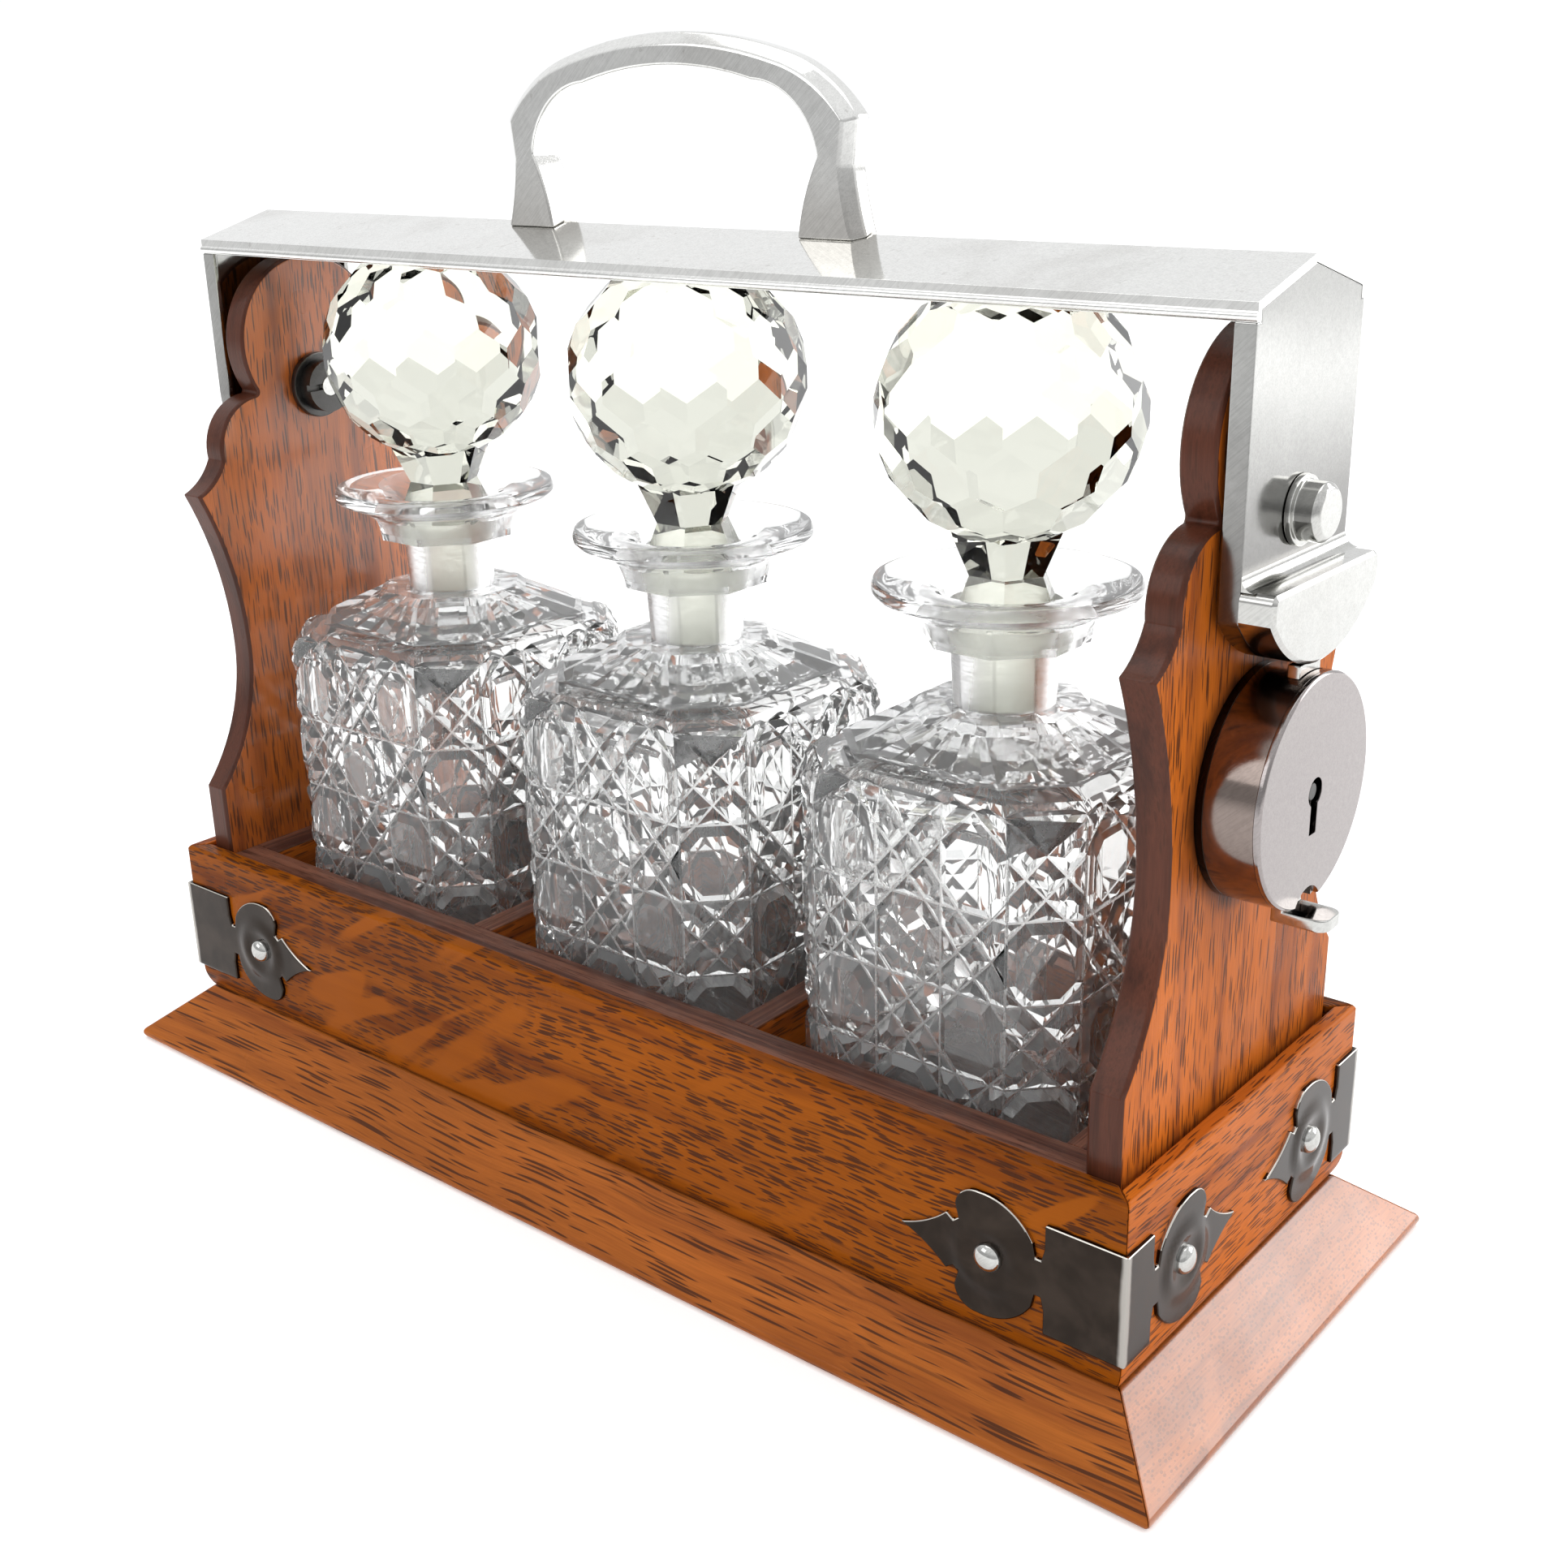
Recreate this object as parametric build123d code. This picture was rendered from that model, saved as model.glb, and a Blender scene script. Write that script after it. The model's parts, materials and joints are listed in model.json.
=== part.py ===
from build123d import *
import math
import os

# A three-bottle tantalus: an oak stand with shaped uprights, a plated carrying bar that swings
# over the stoppers, and a drum lock on the right end that holds the bar shut.
# Millimetres. +X points to the lock end, -Y to the front, +Z up. The origin is the middle of
# the underside. Every "half_" size is measured from the middle of the stand.

# ---- stand: skirt, plinth and floor ----
skirt_end_overhang = 16.0
skirt_side_overhang = 15.0
skirt_height = 17.0
skirt_rim_height = 3.8
skirt_width = 26.0
plinth_top = 65.0
plinth_wall = 5.4
plinth_foot_inset = 2.2
plinth_foot_height = 7.0
plinth_edge_round = 1.2
deck_thickness = 3.0
groove_width = 1.2
groove_depth = 3.0

# ---- compartments ----
bay_end_play = 4.25
bay_side_play = 0.6
liner_drop = 1.5
liner_width = 10.0
divider_width = 7.0

# ---- uprights ----
upright_thickness = 8.4
upright_end_gap = 0.45
upright_side_gap = 0.6
foot_height = 67.3
waist_half_width = 34.6
waist_rise = 40.7
shoulder_half_width = 45.2
shoulder_drop = 26.4
shoulder_step = 9.6
lobe_drop = 17.5
lobe_swell = 0.4
shoulder_hollow = 0.9
neck_half_width = 20.5
arch_radius = 24.6
arch_rise = 13.3
notch_round = 0.8
upright_edge = 0.8

# ---- swinging yoke: bar, straps, hasp boss ----
pivot_rise = 23.5
strap_gap = 1.55
bar_half_width = 24.0
eave_rise = 43.0
ridge_rise = 6.8
bar_sheet = 1.6
rim_drop = 3.8
rim_bead = 1.1
strap_sheet = 2.0
strap_depth = 4.8
strap_flange = 1.6
left_strap_end = 24.0
boss_reach = 30.4
boss_drop = 12.0
boss_half_width = 24.5
boss_depth = 7.7
boss_cove = 3.0
boss_corner = 2.0
boss_lip = 0.8
boss_slot_play = 1.1

# ---- pivots ----
pivot_radius = 3.0
running_fit = 0.05
side_play = 0.1
collar_radius = 8.0
stud_flange_radius = 7.4
stud_flange = 1.4
stud_head_radius = 6.2
stud_head = 5.4
stud_head_bevel = 1.2
washer_radius = 9.5
washer_thickness = 2.2
nut_radius = 7.6
nut_thickness = 4.4
nut_slot = 1.8

# ---- drum lock ----
drum_gap = 2.8
drum_radius = 25.8
drum_wall = 1.8
drum_depth = 14.6
back_plate = 2.0
cover_plate = 1.5
cover_bevel = 0.5
drill_pin_radius = 1.9
keyhole_radius = 3.2
keyhole_slot = 3.2
keyhole_drop = 9.4
notch_radius = 6.8
notch_height = 4.2
bolt_width = 10.0
bolt_thickness = 3.0
bolt_body_width = 19.0
bolt_body_height = 31.0
bolt_window = 11.0
bolt_standoff = 8.4
bolt_throw = 3.2
bolt_shy = 0.5
slide_fit = 0.3
tab_width = 9.0
tab_thickness = 2.9
tab_overhang = 6.6
tab_gap = 0.9
tumbler_thickness = 1.8
tumbler_pin_radius = 1.6
tumbler_eye = 4.0
tumbler_arm = 20.0
tumbler_arm_height = 4.0
tumbler_side = 17.0
tumbler_rise = 4.0
spring_leaf = 0.6
spring_gap = 9.0
spring_length = 22.0
spring_foot = 4.0
screw_head = 2.8
screw_head_height = 1.4

# ---- carrying handle ----
handle_rise = 44.2
handle_foot_half = 60.5
handle_foot_hollow = 1.0
handle_waist = (54.6, 15.2)
handle_shoulder = (55.8, 25.2)
handle_corner = (47.0, 33.6)
handle_haunch = (34.0, 39.5)
grip_rise = 36.8
grip_foot_half = 39.5
grip_foot_hollow = 1.6
grip_waist = (45.8, 16.7)
grip_corner = (40.6, 27.0)
grip_haunch = (27.0, 33.2)
handle_depth = 9.4
handle_bevel = 2.6
handle_screw_head = 3.8
handle_screw_depth = 1.4
handle_screw_at = 50.6

# ---- corner brackets ----
bracket_thickness = 1.0
bracket_middle = 39.0
bracket_band_half = 13.8
bracket_front_band = 19.2
bracket_end_band = 10.4
bracket_reach = 38.0
bracket_lobe_half = 15.6
bracket_stud_at = 14.3
stud_radius = 3.5
stud_dome = 2.2

# ---- decanters and stoppers ----
decanter_half = 40.0
decanter_corner = 13.0
decanter_foot = 1.5
decanter_body = 114.0
shoulder_rise = 11.0
decanter_neck_flat = 18.0
neck_rise = 16.0
neck_step = 2.0
neck_sink = 3.0
lip_rise = 14.5
decanter_lip_radius = 31.0
decanter_lip_edge = 3.6
lip_round = 0.9
decanter_wall = 5.0
decanter_floor = 7.0
mouth_radius = 13.2
plug_drop = 30.0
plug_taper = 1.2
plug_fit = 0.05
mouth_flare = 6.0
mouth_rim = 4.0
stopper_rise = 37.1
stopper_radius = 29.3
stopper_facets = 12
stopper_rows = (0, 21, 42, 62)
stopper_neck_radius = 9.6
stopper_neck_top = 14.5
stopper_neck_sink = 4.0
stopper_neck_step = 0.6

# ---- sizes that follow ----
deck_bottom = skirt_height
deck_top = deck_bottom + deck_thickness
decanter_shoulder = deck_top + decanter_body
decanter_neck_base = decanter_shoulder + shoulder_rise
decanter_flare = decanter_neck_base + neck_rise
decanter_lip_top = decanter_flare + lip_rise
stopper_centre = decanter_lip_top + stopper_rise
pivot_height = decanter_lip_top + pivot_rise
eave_height = pivot_height + eave_rise
ridge_height = eave_height + ridge_rise
boss_top = pivot_height - boss_drop
foot_top = skirt_height + foot_height
waist_height = foot_top + waist_rise
shoulder_height = pivot_height - shoulder_drop
lobe_half_width = shoulder_half_width - shoulder_step
lobe_height = pivot_height - lobe_drop
arch_centre = pivot_height + arch_rise
liner_top = plinth_top - liner_drop
bay_half_width = decanter_half + bay_end_play
bay_half_depth = decanter_half + bay_side_play
bottle_pitch = 2 * bay_half_width + divider_width
bays_half_length = bottle_pitch + bay_half_width
upright_inner = bays_half_length + liner_width
upright_outer = upright_inner + upright_thickness
inner_half_length = upright_outer + upright_end_gap
inner_half_depth = bay_half_depth + liner_width
foot_half_width = inner_half_depth - upright_side_gap
plinth_half_length = inner_half_length + plinth_wall
plinth_half_depth = inner_half_depth + plinth_wall
skirt_half_length = plinth_half_length + skirt_end_overhang
skirt_half_depth = plinth_half_depth + skirt_side_overhang
yoke_half_length = upright_outer + strap_gap + strap_depth
rim_bottom = eave_height - rim_drop
strap_inner = yoke_half_length - strap_sheet
strap_edge = yoke_half_length - strap_depth
boss_face = yoke_half_length + boss_depth
drum_face = upright_outer + drum_depth
case_front = drum_face - cover_plate
case_back = upright_outer + back_plate
bolt_back = upright_outer + bolt_standoff
bolt_front = bolt_back + bolt_thickness
bolt_tip = pivot_height - boss_reach - bolt_shy
lock_height = pivot_height - boss_reach - drum_gap - drum_radius
drum_bottom = lock_height - drum_radius
tab_top = drum_bottom - tab_gap
tab_reach = drum_face + tab_overhang
tumbler_pin_y = -tumbler_side
tumbler_pin_z = lock_height + tumbler_rise
tumbler_back = case_back + 0.6


def extruded(face, start, end):
    """A face drawn in the YZ plane, run from x = start to x = end."""
    return Pos(start, 0, 0) * extrude(face, amount=end - start)


def yz_face(points):
    """A flat face from (y, z) corners."""
    return Plane.YZ * make_face(Polyline(*points, close=True))


def x_rod(radius, start, end, y=0.0, z=0.0):
    """A round bar along X."""
    return Pos((start + end) / 2, y, z) * Rot(0, 90, 0) * Cylinder(radius, end - start)


def x_ring(outer, inner, start, end, y=0.0, z=0.0):
    """A washer or tube along X."""
    return x_rod(outer, start, end, y, z) - x_rod(inner, start - 1, end + 1, y, z)


def block(x0, x1, y0, y1, z0, z1):
    """A plain block between two corners."""
    return Pos((x0 + x1) / 2, (y0 + y1) / 2, (z0 + z1) / 2) * Box(x1 - x0, y1 - y0, z1 - z0)


def mirrored_x(shape):
    return mirror(shape, about=Plane.YZ)


# ---- stand ----


def mitred_run(face, half_length, half_depth, width):
    """The front side of a mitred frame: a section run along X and cut at 45 degrees."""
    over = 2.0
    bar = extruded(face, -half_length - over, half_length + over)
    plan = make_face(
        Polyline(
            (-half_length - over, -half_depth - over),
            (half_length + over, -half_depth - over),
            (half_length - width, -half_depth + width),
            (-half_length + width, -half_depth + width),
            close=True,
        )
    )
    return bar & extrude(plan, amount=plinth_top * 2, both=True)


def skirt_section(half_depth):
    """The bevelled base moulding: a thin rounded rim, then a straight slope to the plinth."""
    outer = -half_depth
    inner = -half_depth + skirt_width
    slope_top = outer + skirt_side_overhang + plinth_foot_inset
    nose = skirt_rim_height / 2
    rim = ThreePointArc(
        (outer + nose, 0), (outer, nose), (outer + nose / 2, nose * (1 + math.sqrt(0.75)))
    )
    top = Polyline(rim @ 1, (slope_top, skirt_height), (inner, skirt_height), (inner, 0), rim @ 0)
    return Plane.YZ * make_face([rim, top])


def wall_section(half_depth, with_groove):
    """A plinth wall: rolled in at its foot, softened at its top outer edge."""
    outer = -half_depth
    inner = -half_depth + plinth_wall
    foot = skirt_height
    foot_top_z = foot + plinth_foot_height
    foot_radius = (plinth_foot_inset**2 + plinth_foot_height**2) / (2 * plinth_foot_inset)
    half_angle = math.asin(plinth_foot_height / foot_radius) / 2
    middle = (
        outer + foot_radius * (1 - math.cos(half_angle)),
        foot_top_z - foot_radius * math.sin(half_angle),
    )
    roll = ThreePointArc((outer + plinth_foot_inset, foot), middle, (outer, foot_top_z))
    soft = plinth_edge_round
    corner = soft * (1 - math.sqrt(0.5))
    edge = ThreePointArc(
        (outer, plinth_top - soft), (outer + corner, plinth_top - corner), (outer + soft, plinth_top)
    )
    side = Line(roll @ 1, edge @ 0)
    if with_groove:
        inside = Polyline(
            edge @ 1,
            (inner - groove_width, plinth_top),
            (inner - groove_width, plinth_top - groove_depth),
            (inner, plinth_top - groove_depth),
            (inner, foot),
            roll @ 0,
        )
    else:
        inside = Polyline(edge @ 1, (inner, plinth_top), (inner, foot), roll @ 0)
    return Plane.YZ * make_face([roll, side, edge, inside])


def side_wall_section(half_depth):
    """The section of the two long plinth walls."""
    return wall_section(half_depth, False)


def end_wall_section(half_length):
    """The section of the two plinth ends, with the groove that the uprights stand behind."""
    return wall_section(half_length, True)


def frame_sides(side_section, end_section, half_length, half_depth, width, names):
    """Four mitred sides round a rectangle, as front, right, back and left."""
    made = {}
    for index, name in enumerate(names):
        if index % 2 == 0:
            face = side_section(half_depth)
            run = mitred_run(face, half_length, half_depth, width)
        else:
            face = end_section(half_length)
            run = mitred_run(face, half_depth, half_length, width)
        made[name] = Rot(0, 0, 90 * index) * run
    return made


def base_board():
    """The board inside the skirt that everything stands on."""
    half_x = skirt_half_length - skirt_width
    half_y = skirt_half_depth - skirt_width
    return block(-half_x, half_x, -half_y, half_y, 0, skirt_height)


def deck():
    """The floor of the three compartments."""
    return block(
        -upright_inner, upright_inner, -inner_half_depth, inner_half_depth, deck_bottom, deck_top
    )


def liners():
    """The dark lining: two long strips, two end strips and the two dividers."""
    made = {}
    for name, side in (("liner_front", -1), ("liner_back", 1)):
        near, far = sorted((side * inner_half_depth, side * bay_half_depth))
        made[name] = block(-upright_inner, upright_inner, near, far, deck_top, liner_top)
    for name, side in (("liner_left", -1), ("liner_right", 1)):
        near, far = sorted((side * bays_half_length, side * upright_inner))
        made[name] = block(near, far, -bay_half_depth, bay_half_depth, deck_top, liner_top)
    for name, side in (("divider_left", -1), ("divider_right", 1)):
        middle = side * bottle_pitch / 2
        made[name] = block(
            middle - divider_width / 2,
            middle + divider_width / 2,
            -bay_half_depth,
            bay_half_depth,
            deck_top,
            liner_top,
        )
    return made


# ---- uprights ----


def waist_point(radius, rise):
    """A point on a waist curve that stands upright at the waist, rise above or below it."""
    inward = radius - math.sqrt(radius**2 - rise**2)
    return (waist_half_width + inward, waist_height + rise)


def curve_radius(width, rise):
    return (width**2 + rise**2) / (2 * width)


def upright_half():
    """The back half of an upright's outline, from the foot to the crown."""
    foot_rise = foot_top - waist_height
    foot_radius = curve_radius(foot_half_width - waist_half_width, foot_rise)
    shoulder_rise = shoulder_height - waist_height
    shoulder_radius = curve_radius(shoulder_half_width - waist_half_width, shoulder_rise)
    neck_z = arch_centre - math.sqrt(arch_radius**2 - neck_half_width**2)
    foot = Polyline((0, deck_bottom), (foot_half_width, deck_bottom), (foot_half_width, foot_top))
    lower = ThreePointArc(
        foot @ 1, waist_point(foot_radius, foot_rise / 2), (waist_half_width, waist_height)
    )
    upper = ThreePointArc(
        lower @ 1,
        waist_point(shoulder_radius, shoulder_rise / 2),
        (shoulder_half_width, shoulder_height),
    )
    slope_mid = (
        (shoulder_half_width + lobe_half_width) / 2 - shoulder_hollow,
        (shoulder_height + lobe_height) / 2 - shoulder_hollow,
    )
    slope = ThreePointArc(upper @ 1, slope_mid, (lobe_half_width, lobe_height))
    lobe_width = lobe_half_width - neck_half_width
    lobe_rise = neck_z - lobe_height
    lobe_mid = (
        neck_half_width + lobe_width * math.sqrt(0.5) + lobe_swell,
        lobe_height + lobe_rise * math.sqrt(0.5) + lobe_swell,
    )
    lobe = ThreePointArc(slope @ 1, lobe_mid, (neck_half_width, neck_z))
    crown = ThreePointArc(
        lobe @ 1, (arch_radius, arch_centre), (0, arch_centre + arch_radius)
    )
    middle = Line(crown @ 1, foot @ 0)
    half = make_face([foot, lower, upper, slope, lobe, crown, middle])
    notch = half.vertices().sort_by(lambda v: abs(v.Y - neck_z))[0]
    return fillet(notch, notch_round)


def upright_right():
    """The right upright, its shaped edges eased, bored for its pivot."""
    half = upright_half()
    face = Plane.YZ * (half + mirror(half, about=Plane.YZ))
    board = extruded(face, upright_inner, upright_outer)
    faces_x = (upright_inner, upright_outer)
    shaped = [
        e
        for e in board.edges()
        if min(abs(e.center().X - x) for x in faces_x) < 0.01 and e.center().Z > deck_top
    ]
    board = chamfer(shaped, upright_edge)
    bore = x_rod(pivot_radius + running_fit, upright_inner - 1, upright_outer + 1, z=pivot_height)
    return board - bore


# ---- yoke ----


def carrying_bar():
    """A long gabled sheet with turned-down, beaded edges."""
    slope = math.atan2(ridge_height - eave_height, bar_half_width)
    lower_ridge = ridge_height - bar_sheet / math.cos(slope)
    inner_half = bar_half_width - bar_sheet
    inner_eave = lower_ridge - inner_half * math.tan(slope)
    outline = yz_face(
        [
            (-bar_half_width, rim_bottom),
            (-bar_half_width, eave_height),
            (0, ridge_height),
            (bar_half_width, eave_height),
            (bar_half_width, rim_bottom),
            (inner_half, rim_bottom),
            (inner_half, inner_eave),
            (0, lower_ridge),
            (-inner_half, inner_eave),
            (-inner_half, rim_bottom),
        ]
    )
    bar = extruded(outline, -yoke_half_length, yoke_half_length)
    for side in (-1, 1):
        bead_y = side * (bar_half_width - rim_bead / 2)
        bead = x_rod(rim_bead, -yoke_half_length, yoke_half_length, bead_y, rim_bottom + rim_bead)
        inside = block(
            -yoke_half_length - 1,
            yoke_half_length + 1,
            -inner_half,
            inner_half,
            rim_bottom - 1,
            eave_height,
        )
        bar += bead - inside
    return bar


def strap_top():
    """The gable outline of a strap, inside the bar's sheet."""
    slope = math.atan2(ridge_height - eave_height, bar_half_width)
    lower_ridge = ridge_height - bar_sheet / math.cos(slope)
    inner_half = bar_half_width - bar_sheet
    return inner_half, lower_ridge - inner_half * math.tan(slope), lower_ridge


def strap_face(reach, half_width, shrink=0.0):
    """A strap from the side: gable top, straight sides, round end about the pivot."""
    radius = reach - shrink
    half = half_width - shrink
    inner_half, inner_eave, lower_ridge = strap_top()
    side_z = pivot_height - math.sqrt(max(radius**2 - half**2, 0.0))
    end = ThreePointArc((half, side_z), (0, pivot_height - radius), (-half, side_z))
    if shrink:
        top = rim_bottom + bar_sheet
        rest = Polyline(end @ 1, (-half, top), (half, top), end @ 0)
    else:
        rest = Polyline(
            end @ 1,
            (-half, rim_bottom),
            (-inner_half, rim_bottom),
            (-inner_half, inner_eave),
            (0, lower_ridge),
            (inner_half, inner_eave),
            (inner_half, rim_bottom),
            (half, rim_bottom),
            end @ 0,
        )
    return Plane.YZ * make_face([end, rest])


def strap(reach):
    """The right-hand strap: a plate with flanges turned towards the wood."""
    outline = strap_face(reach, bar_half_width)
    plate = extruded(outline, strap_inner, yoke_half_length)
    channel = extruded(outline, strap_edge, strap_inner)
    pocket = extruded(
        strap_face(reach, bar_half_width, strap_flange), strap_edge - 1, strap_inner
    )
    above = block(
        strap_edge - 1, strap_inner, -bar_half_width, bar_half_width, rim_bottom, ridge_height
    )
    bore = x_rod(pivot_radius + running_fit, strap_edge - 1, yoke_half_length + 1, z=pivot_height)
    return plate + (channel - pocket - above) - bore


def hasp_boss():
    """The thick D-shaped boss on the right strap that the bolt shoots into from below."""
    side_z = pivot_height - math.sqrt(boss_reach**2 - boss_half_width**2)
    end = ThreePointArc(
        (boss_half_width, side_z), (0, pivot_height - boss_reach), (-boss_half_width, side_z)
    )
    rest = Polyline(
        end @ 1, (-boss_half_width, boss_top), (boss_half_width, boss_top), end @ 0
    )
    face = Plane.YZ * make_face([end, rest])
    boss = extruded(face, yoke_half_length, boss_face)
    top_corners = [e for e in boss.edges().filter_by(Axis.X) if e.center().Z > boss_top - 0.1]
    boss = fillet(top_corners, boss_corner)
    cove = block(
        yoke_half_length,
        yoke_half_length + boss_cove,
        -bar_half_width,
        bar_half_width,
        boss_top,
        boss_top + boss_cove,
    )
    hollow = x_rod(boss_cove, -bar_half_width - 1, bar_half_width + 1)
    hollow = Pos(yoke_half_length + boss_cove, 0, boss_top + boss_cove) * Rot(0, 0, 90) * hollow
    boss += cove - hollow
    rim = [
        e
        for e in boss.faces().sort_by(Axis.X)[-1].edges()
        if e.center().Z < boss_top - 0.5
    ]
    boss = chamfer(rim, boss_lip)
    slot = block(
        bolt_back - boss_slot_play,
        bolt_front + boss_slot_play,
        -bolt_width / 2 - boss_slot_play,
        bolt_width / 2 + boss_slot_play,
        pivot_height - boss_reach - 2,
        bolt_tip + bolt_throw + 4,
    )
    return boss - slot


def handle_outline():
    """The carrying handle from the front: arch outside, grip opening inside."""

    def over_ridge(point):
        return point[0], ridge_height + point[1]

    waist, shoulder = over_ridge(handle_waist), over_ridge(handle_shoulder)
    inner_waist = over_ridge(grip_waist)
    outer_foot = ThreePointArc(
        (handle_foot_half, eave_height),
        (
            (handle_foot_half + waist[0]) / 2 - handle_foot_hollow,
            (eave_height + waist[1]) / 2,
        ),
        waist,
    )
    side = Line(waist, shoulder)
    haunch = ThreePointArc(shoulder, over_ridge(handle_corner), over_ridge(handle_haunch))
    crown = bow_arc(over_ridge(handle_haunch), ridge_height + handle_rise)
    middle = Line(crown @ 1, (0, ridge_height + grip_rise))
    inner_crown = bow_arc(over_ridge(grip_haunch), ridge_height + grip_rise)
    inner_haunch = ThreePointArc(
        over_ridge(grip_haunch), over_ridge(grip_corner), inner_waist
    )
    inner_foot = ThreePointArc(
        inner_waist,
        (grip_foot_half + grip_foot_hollow, (eave_height + inner_waist[1]) / 2),
        (grip_foot_half, eave_height),
    )
    sole = Line((grip_foot_half, eave_height), (handle_foot_half, eave_height))
    half = make_face(
        [outer_foot, side, haunch, crown, middle, inner_crown, inner_haunch, inner_foot, sole]
    )
    return Plane.XZ * (half + mirror(half, about=Plane.YZ))


def bow_arc(start, top):
    """From a haunch to the level crown on the middle line."""
    x, z = start
    rise = top - z
    radius = (x**2 + rise**2) / (2 * rise)
    return ThreePointArc(
        start, (x / 2, top - radius + math.sqrt(radius**2 - x**2 / 4)), (0, top)
    )


def handle():
    """A cast handle of bevelled section, its feet cut to straddle the ridge."""
    bow = extrude(handle_outline(), amount=handle_depth / 2, both=True)
    flat = [e for e in bow.edges() if abs(abs(e.center().Y) - handle_depth / 2) < 0.01]
    flat = [e for e in flat if e.center().Z > eave_height + 1]

    def outside(edge):
        x, rise = abs(edge.center().X), edge.center().Z - ridge_height
        beside = x > (grip_waist[0] + handle_waist[0]) / 2
        above = rise > (grip_rise + handle_rise) / 2
        corner_x = (grip_corner[0] + handle_corner[0]) / 2
        corner_rise = (grip_corner[1] + handle_corner[1]) / 2
        return beside or above or (x > corner_x and rise > corner_rise)

    bow = chamfer([e for e in flat if outside(e)], handle_bevel)
    seat = yz_face(
        [
            (-bar_half_width, 0),
            (-bar_half_width, eave_height),
            (0, ridge_height),
            (bar_half_width, eave_height),
            (bar_half_width, 0),
        ]
    )
    return bow - extruded(seat, -yoke_half_length, yoke_half_length)


def handle_screws():
    """Heads of the two screws that hold the handle, let into the underside of the ridge."""
    slope = (ridge_height - eave_height) / bar_half_width
    outline = yz_face(
        [
            (-handle_screw_head, strap_top()[2] - handle_screw_head * slope),
            (0, strap_top()[2]),
            (handle_screw_head, strap_top()[2] - handle_screw_head * slope),
            (handle_screw_head, strap_top()[2] - handle_screw_head * slope - handle_screw_depth),
            (-handle_screw_head, strap_top()[2] - handle_screw_head * slope - handle_screw_depth),
        ]
    )
    head = extruded(outline, -handle_screw_head, handle_screw_head)
    return Compound(children=[Pos(side * handle_screw_at, 0, 0) * head for side in (-1, 1)])


# ---- pivots ----


def pivot_collar():
    return x_ring(
        collar_radius,
        pivot_radius + running_fit,
        upright_outer,
        strap_inner - side_play,
        z=pivot_height,
    )


def pivot_stud():
    """Stud with a flanged, bevelled head outside and a threaded end inside the upright."""
    flange_start = yoke_half_length + side_play
    head_start = flange_start + stud_flange
    shank = x_rod(
        pivot_radius,
        upright_inner - washer_thickness - nut_thickness,
        flange_start,
        z=pivot_height,
    )
    flange = x_rod(stud_flange_radius, flange_start, head_start, z=pivot_height)
    head = x_rod(stud_head_radius, head_start, head_start + stud_head, z=pivot_height)
    rim = head.edges().sort_by(Axis.X)[-1]
    return shank + flange + chamfer(rim, stud_head_bevel)


def pivot_washer():
    return x_ring(
        washer_radius,
        pivot_radius + running_fit,
        upright_inner - washer_thickness,
        upright_inner,
        z=pivot_height,
    )


def pivot_nut():
    """A round nut with a driver slot across its face."""
    outer = upright_inner - washer_thickness
    nut = x_ring(nut_radius, pivot_radius + running_fit, outer - nut_thickness, outer, z=pivot_height)
    slot = block(
        outer - nut_thickness - 1,
        outer - nut_thickness + 1.4,
        -nut_radius,
        nut_radius,
        pivot_height - nut_slot / 2,
        pivot_height + nut_slot / 2,
    )
    return nut - slot


# ---- drum lock ----


def bolt_slot(z0, z1, width, front):
    """The way that the bolt takes through the drum wall."""
    return block(
        bolt_back - slide_fit,
        front,
        -width / 2 - slide_fit,
        width / 2 + slide_fit,
        z0,
        z1,
    )


def lock_case():
    """The drum: a short tube with a slot above for the bolt and one below for the tab."""
    tube = x_ring(
        drum_radius, drum_radius - drum_wall, case_back, case_front, z=lock_height
    )
    top = bolt_slot(lock_height, lock_height + drum_radius + 1, bolt_width, bolt_front + slide_fit)
    bottom = bolt_slot(drum_bottom - 1, lock_height, tab_width, case_front + 1)
    return tube - top - bottom


def lock_back_plate():
    plate = x_rod(drum_radius, upright_outer, case_back, z=lock_height)
    plate -= x_rod(drill_pin_radius, upright_outer - 1, case_back + 1, z=lock_height)
    plate -= x_rod(
        tumbler_pin_radius, upright_outer - 1, case_back + 1, tumbler_pin_y, tumbler_pin_z
    )
    return plate


def lock_cover():
    """The face of the drum, with the keyhole and the thumb notch over the tab."""
    cover = x_rod(drum_radius, case_front, drum_face, z=lock_height)
    rim = cover.edges().sort_by(Axis.X)[-1]
    cover = chamfer(rim, cover_bevel)
    cover -= x_rod(keyhole_radius, case_front - 1, drum_face + 1, z=lock_height)
    cover -= block(
        case_front - 1,
        drum_face + 1,
        -keyhole_slot / 2,
        keyhole_slot / 2,
        lock_height - keyhole_drop,
        lock_height,
    )
    notch_centre = drum_bottom + notch_height - notch_radius
    return cover - x_rod(notch_radius, case_front - 1, drum_face + 1, z=notch_centre)


def drill_pin():
    return x_rod(drill_pin_radius, upright_outer, drum_face - 0.6, z=lock_height)


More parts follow.
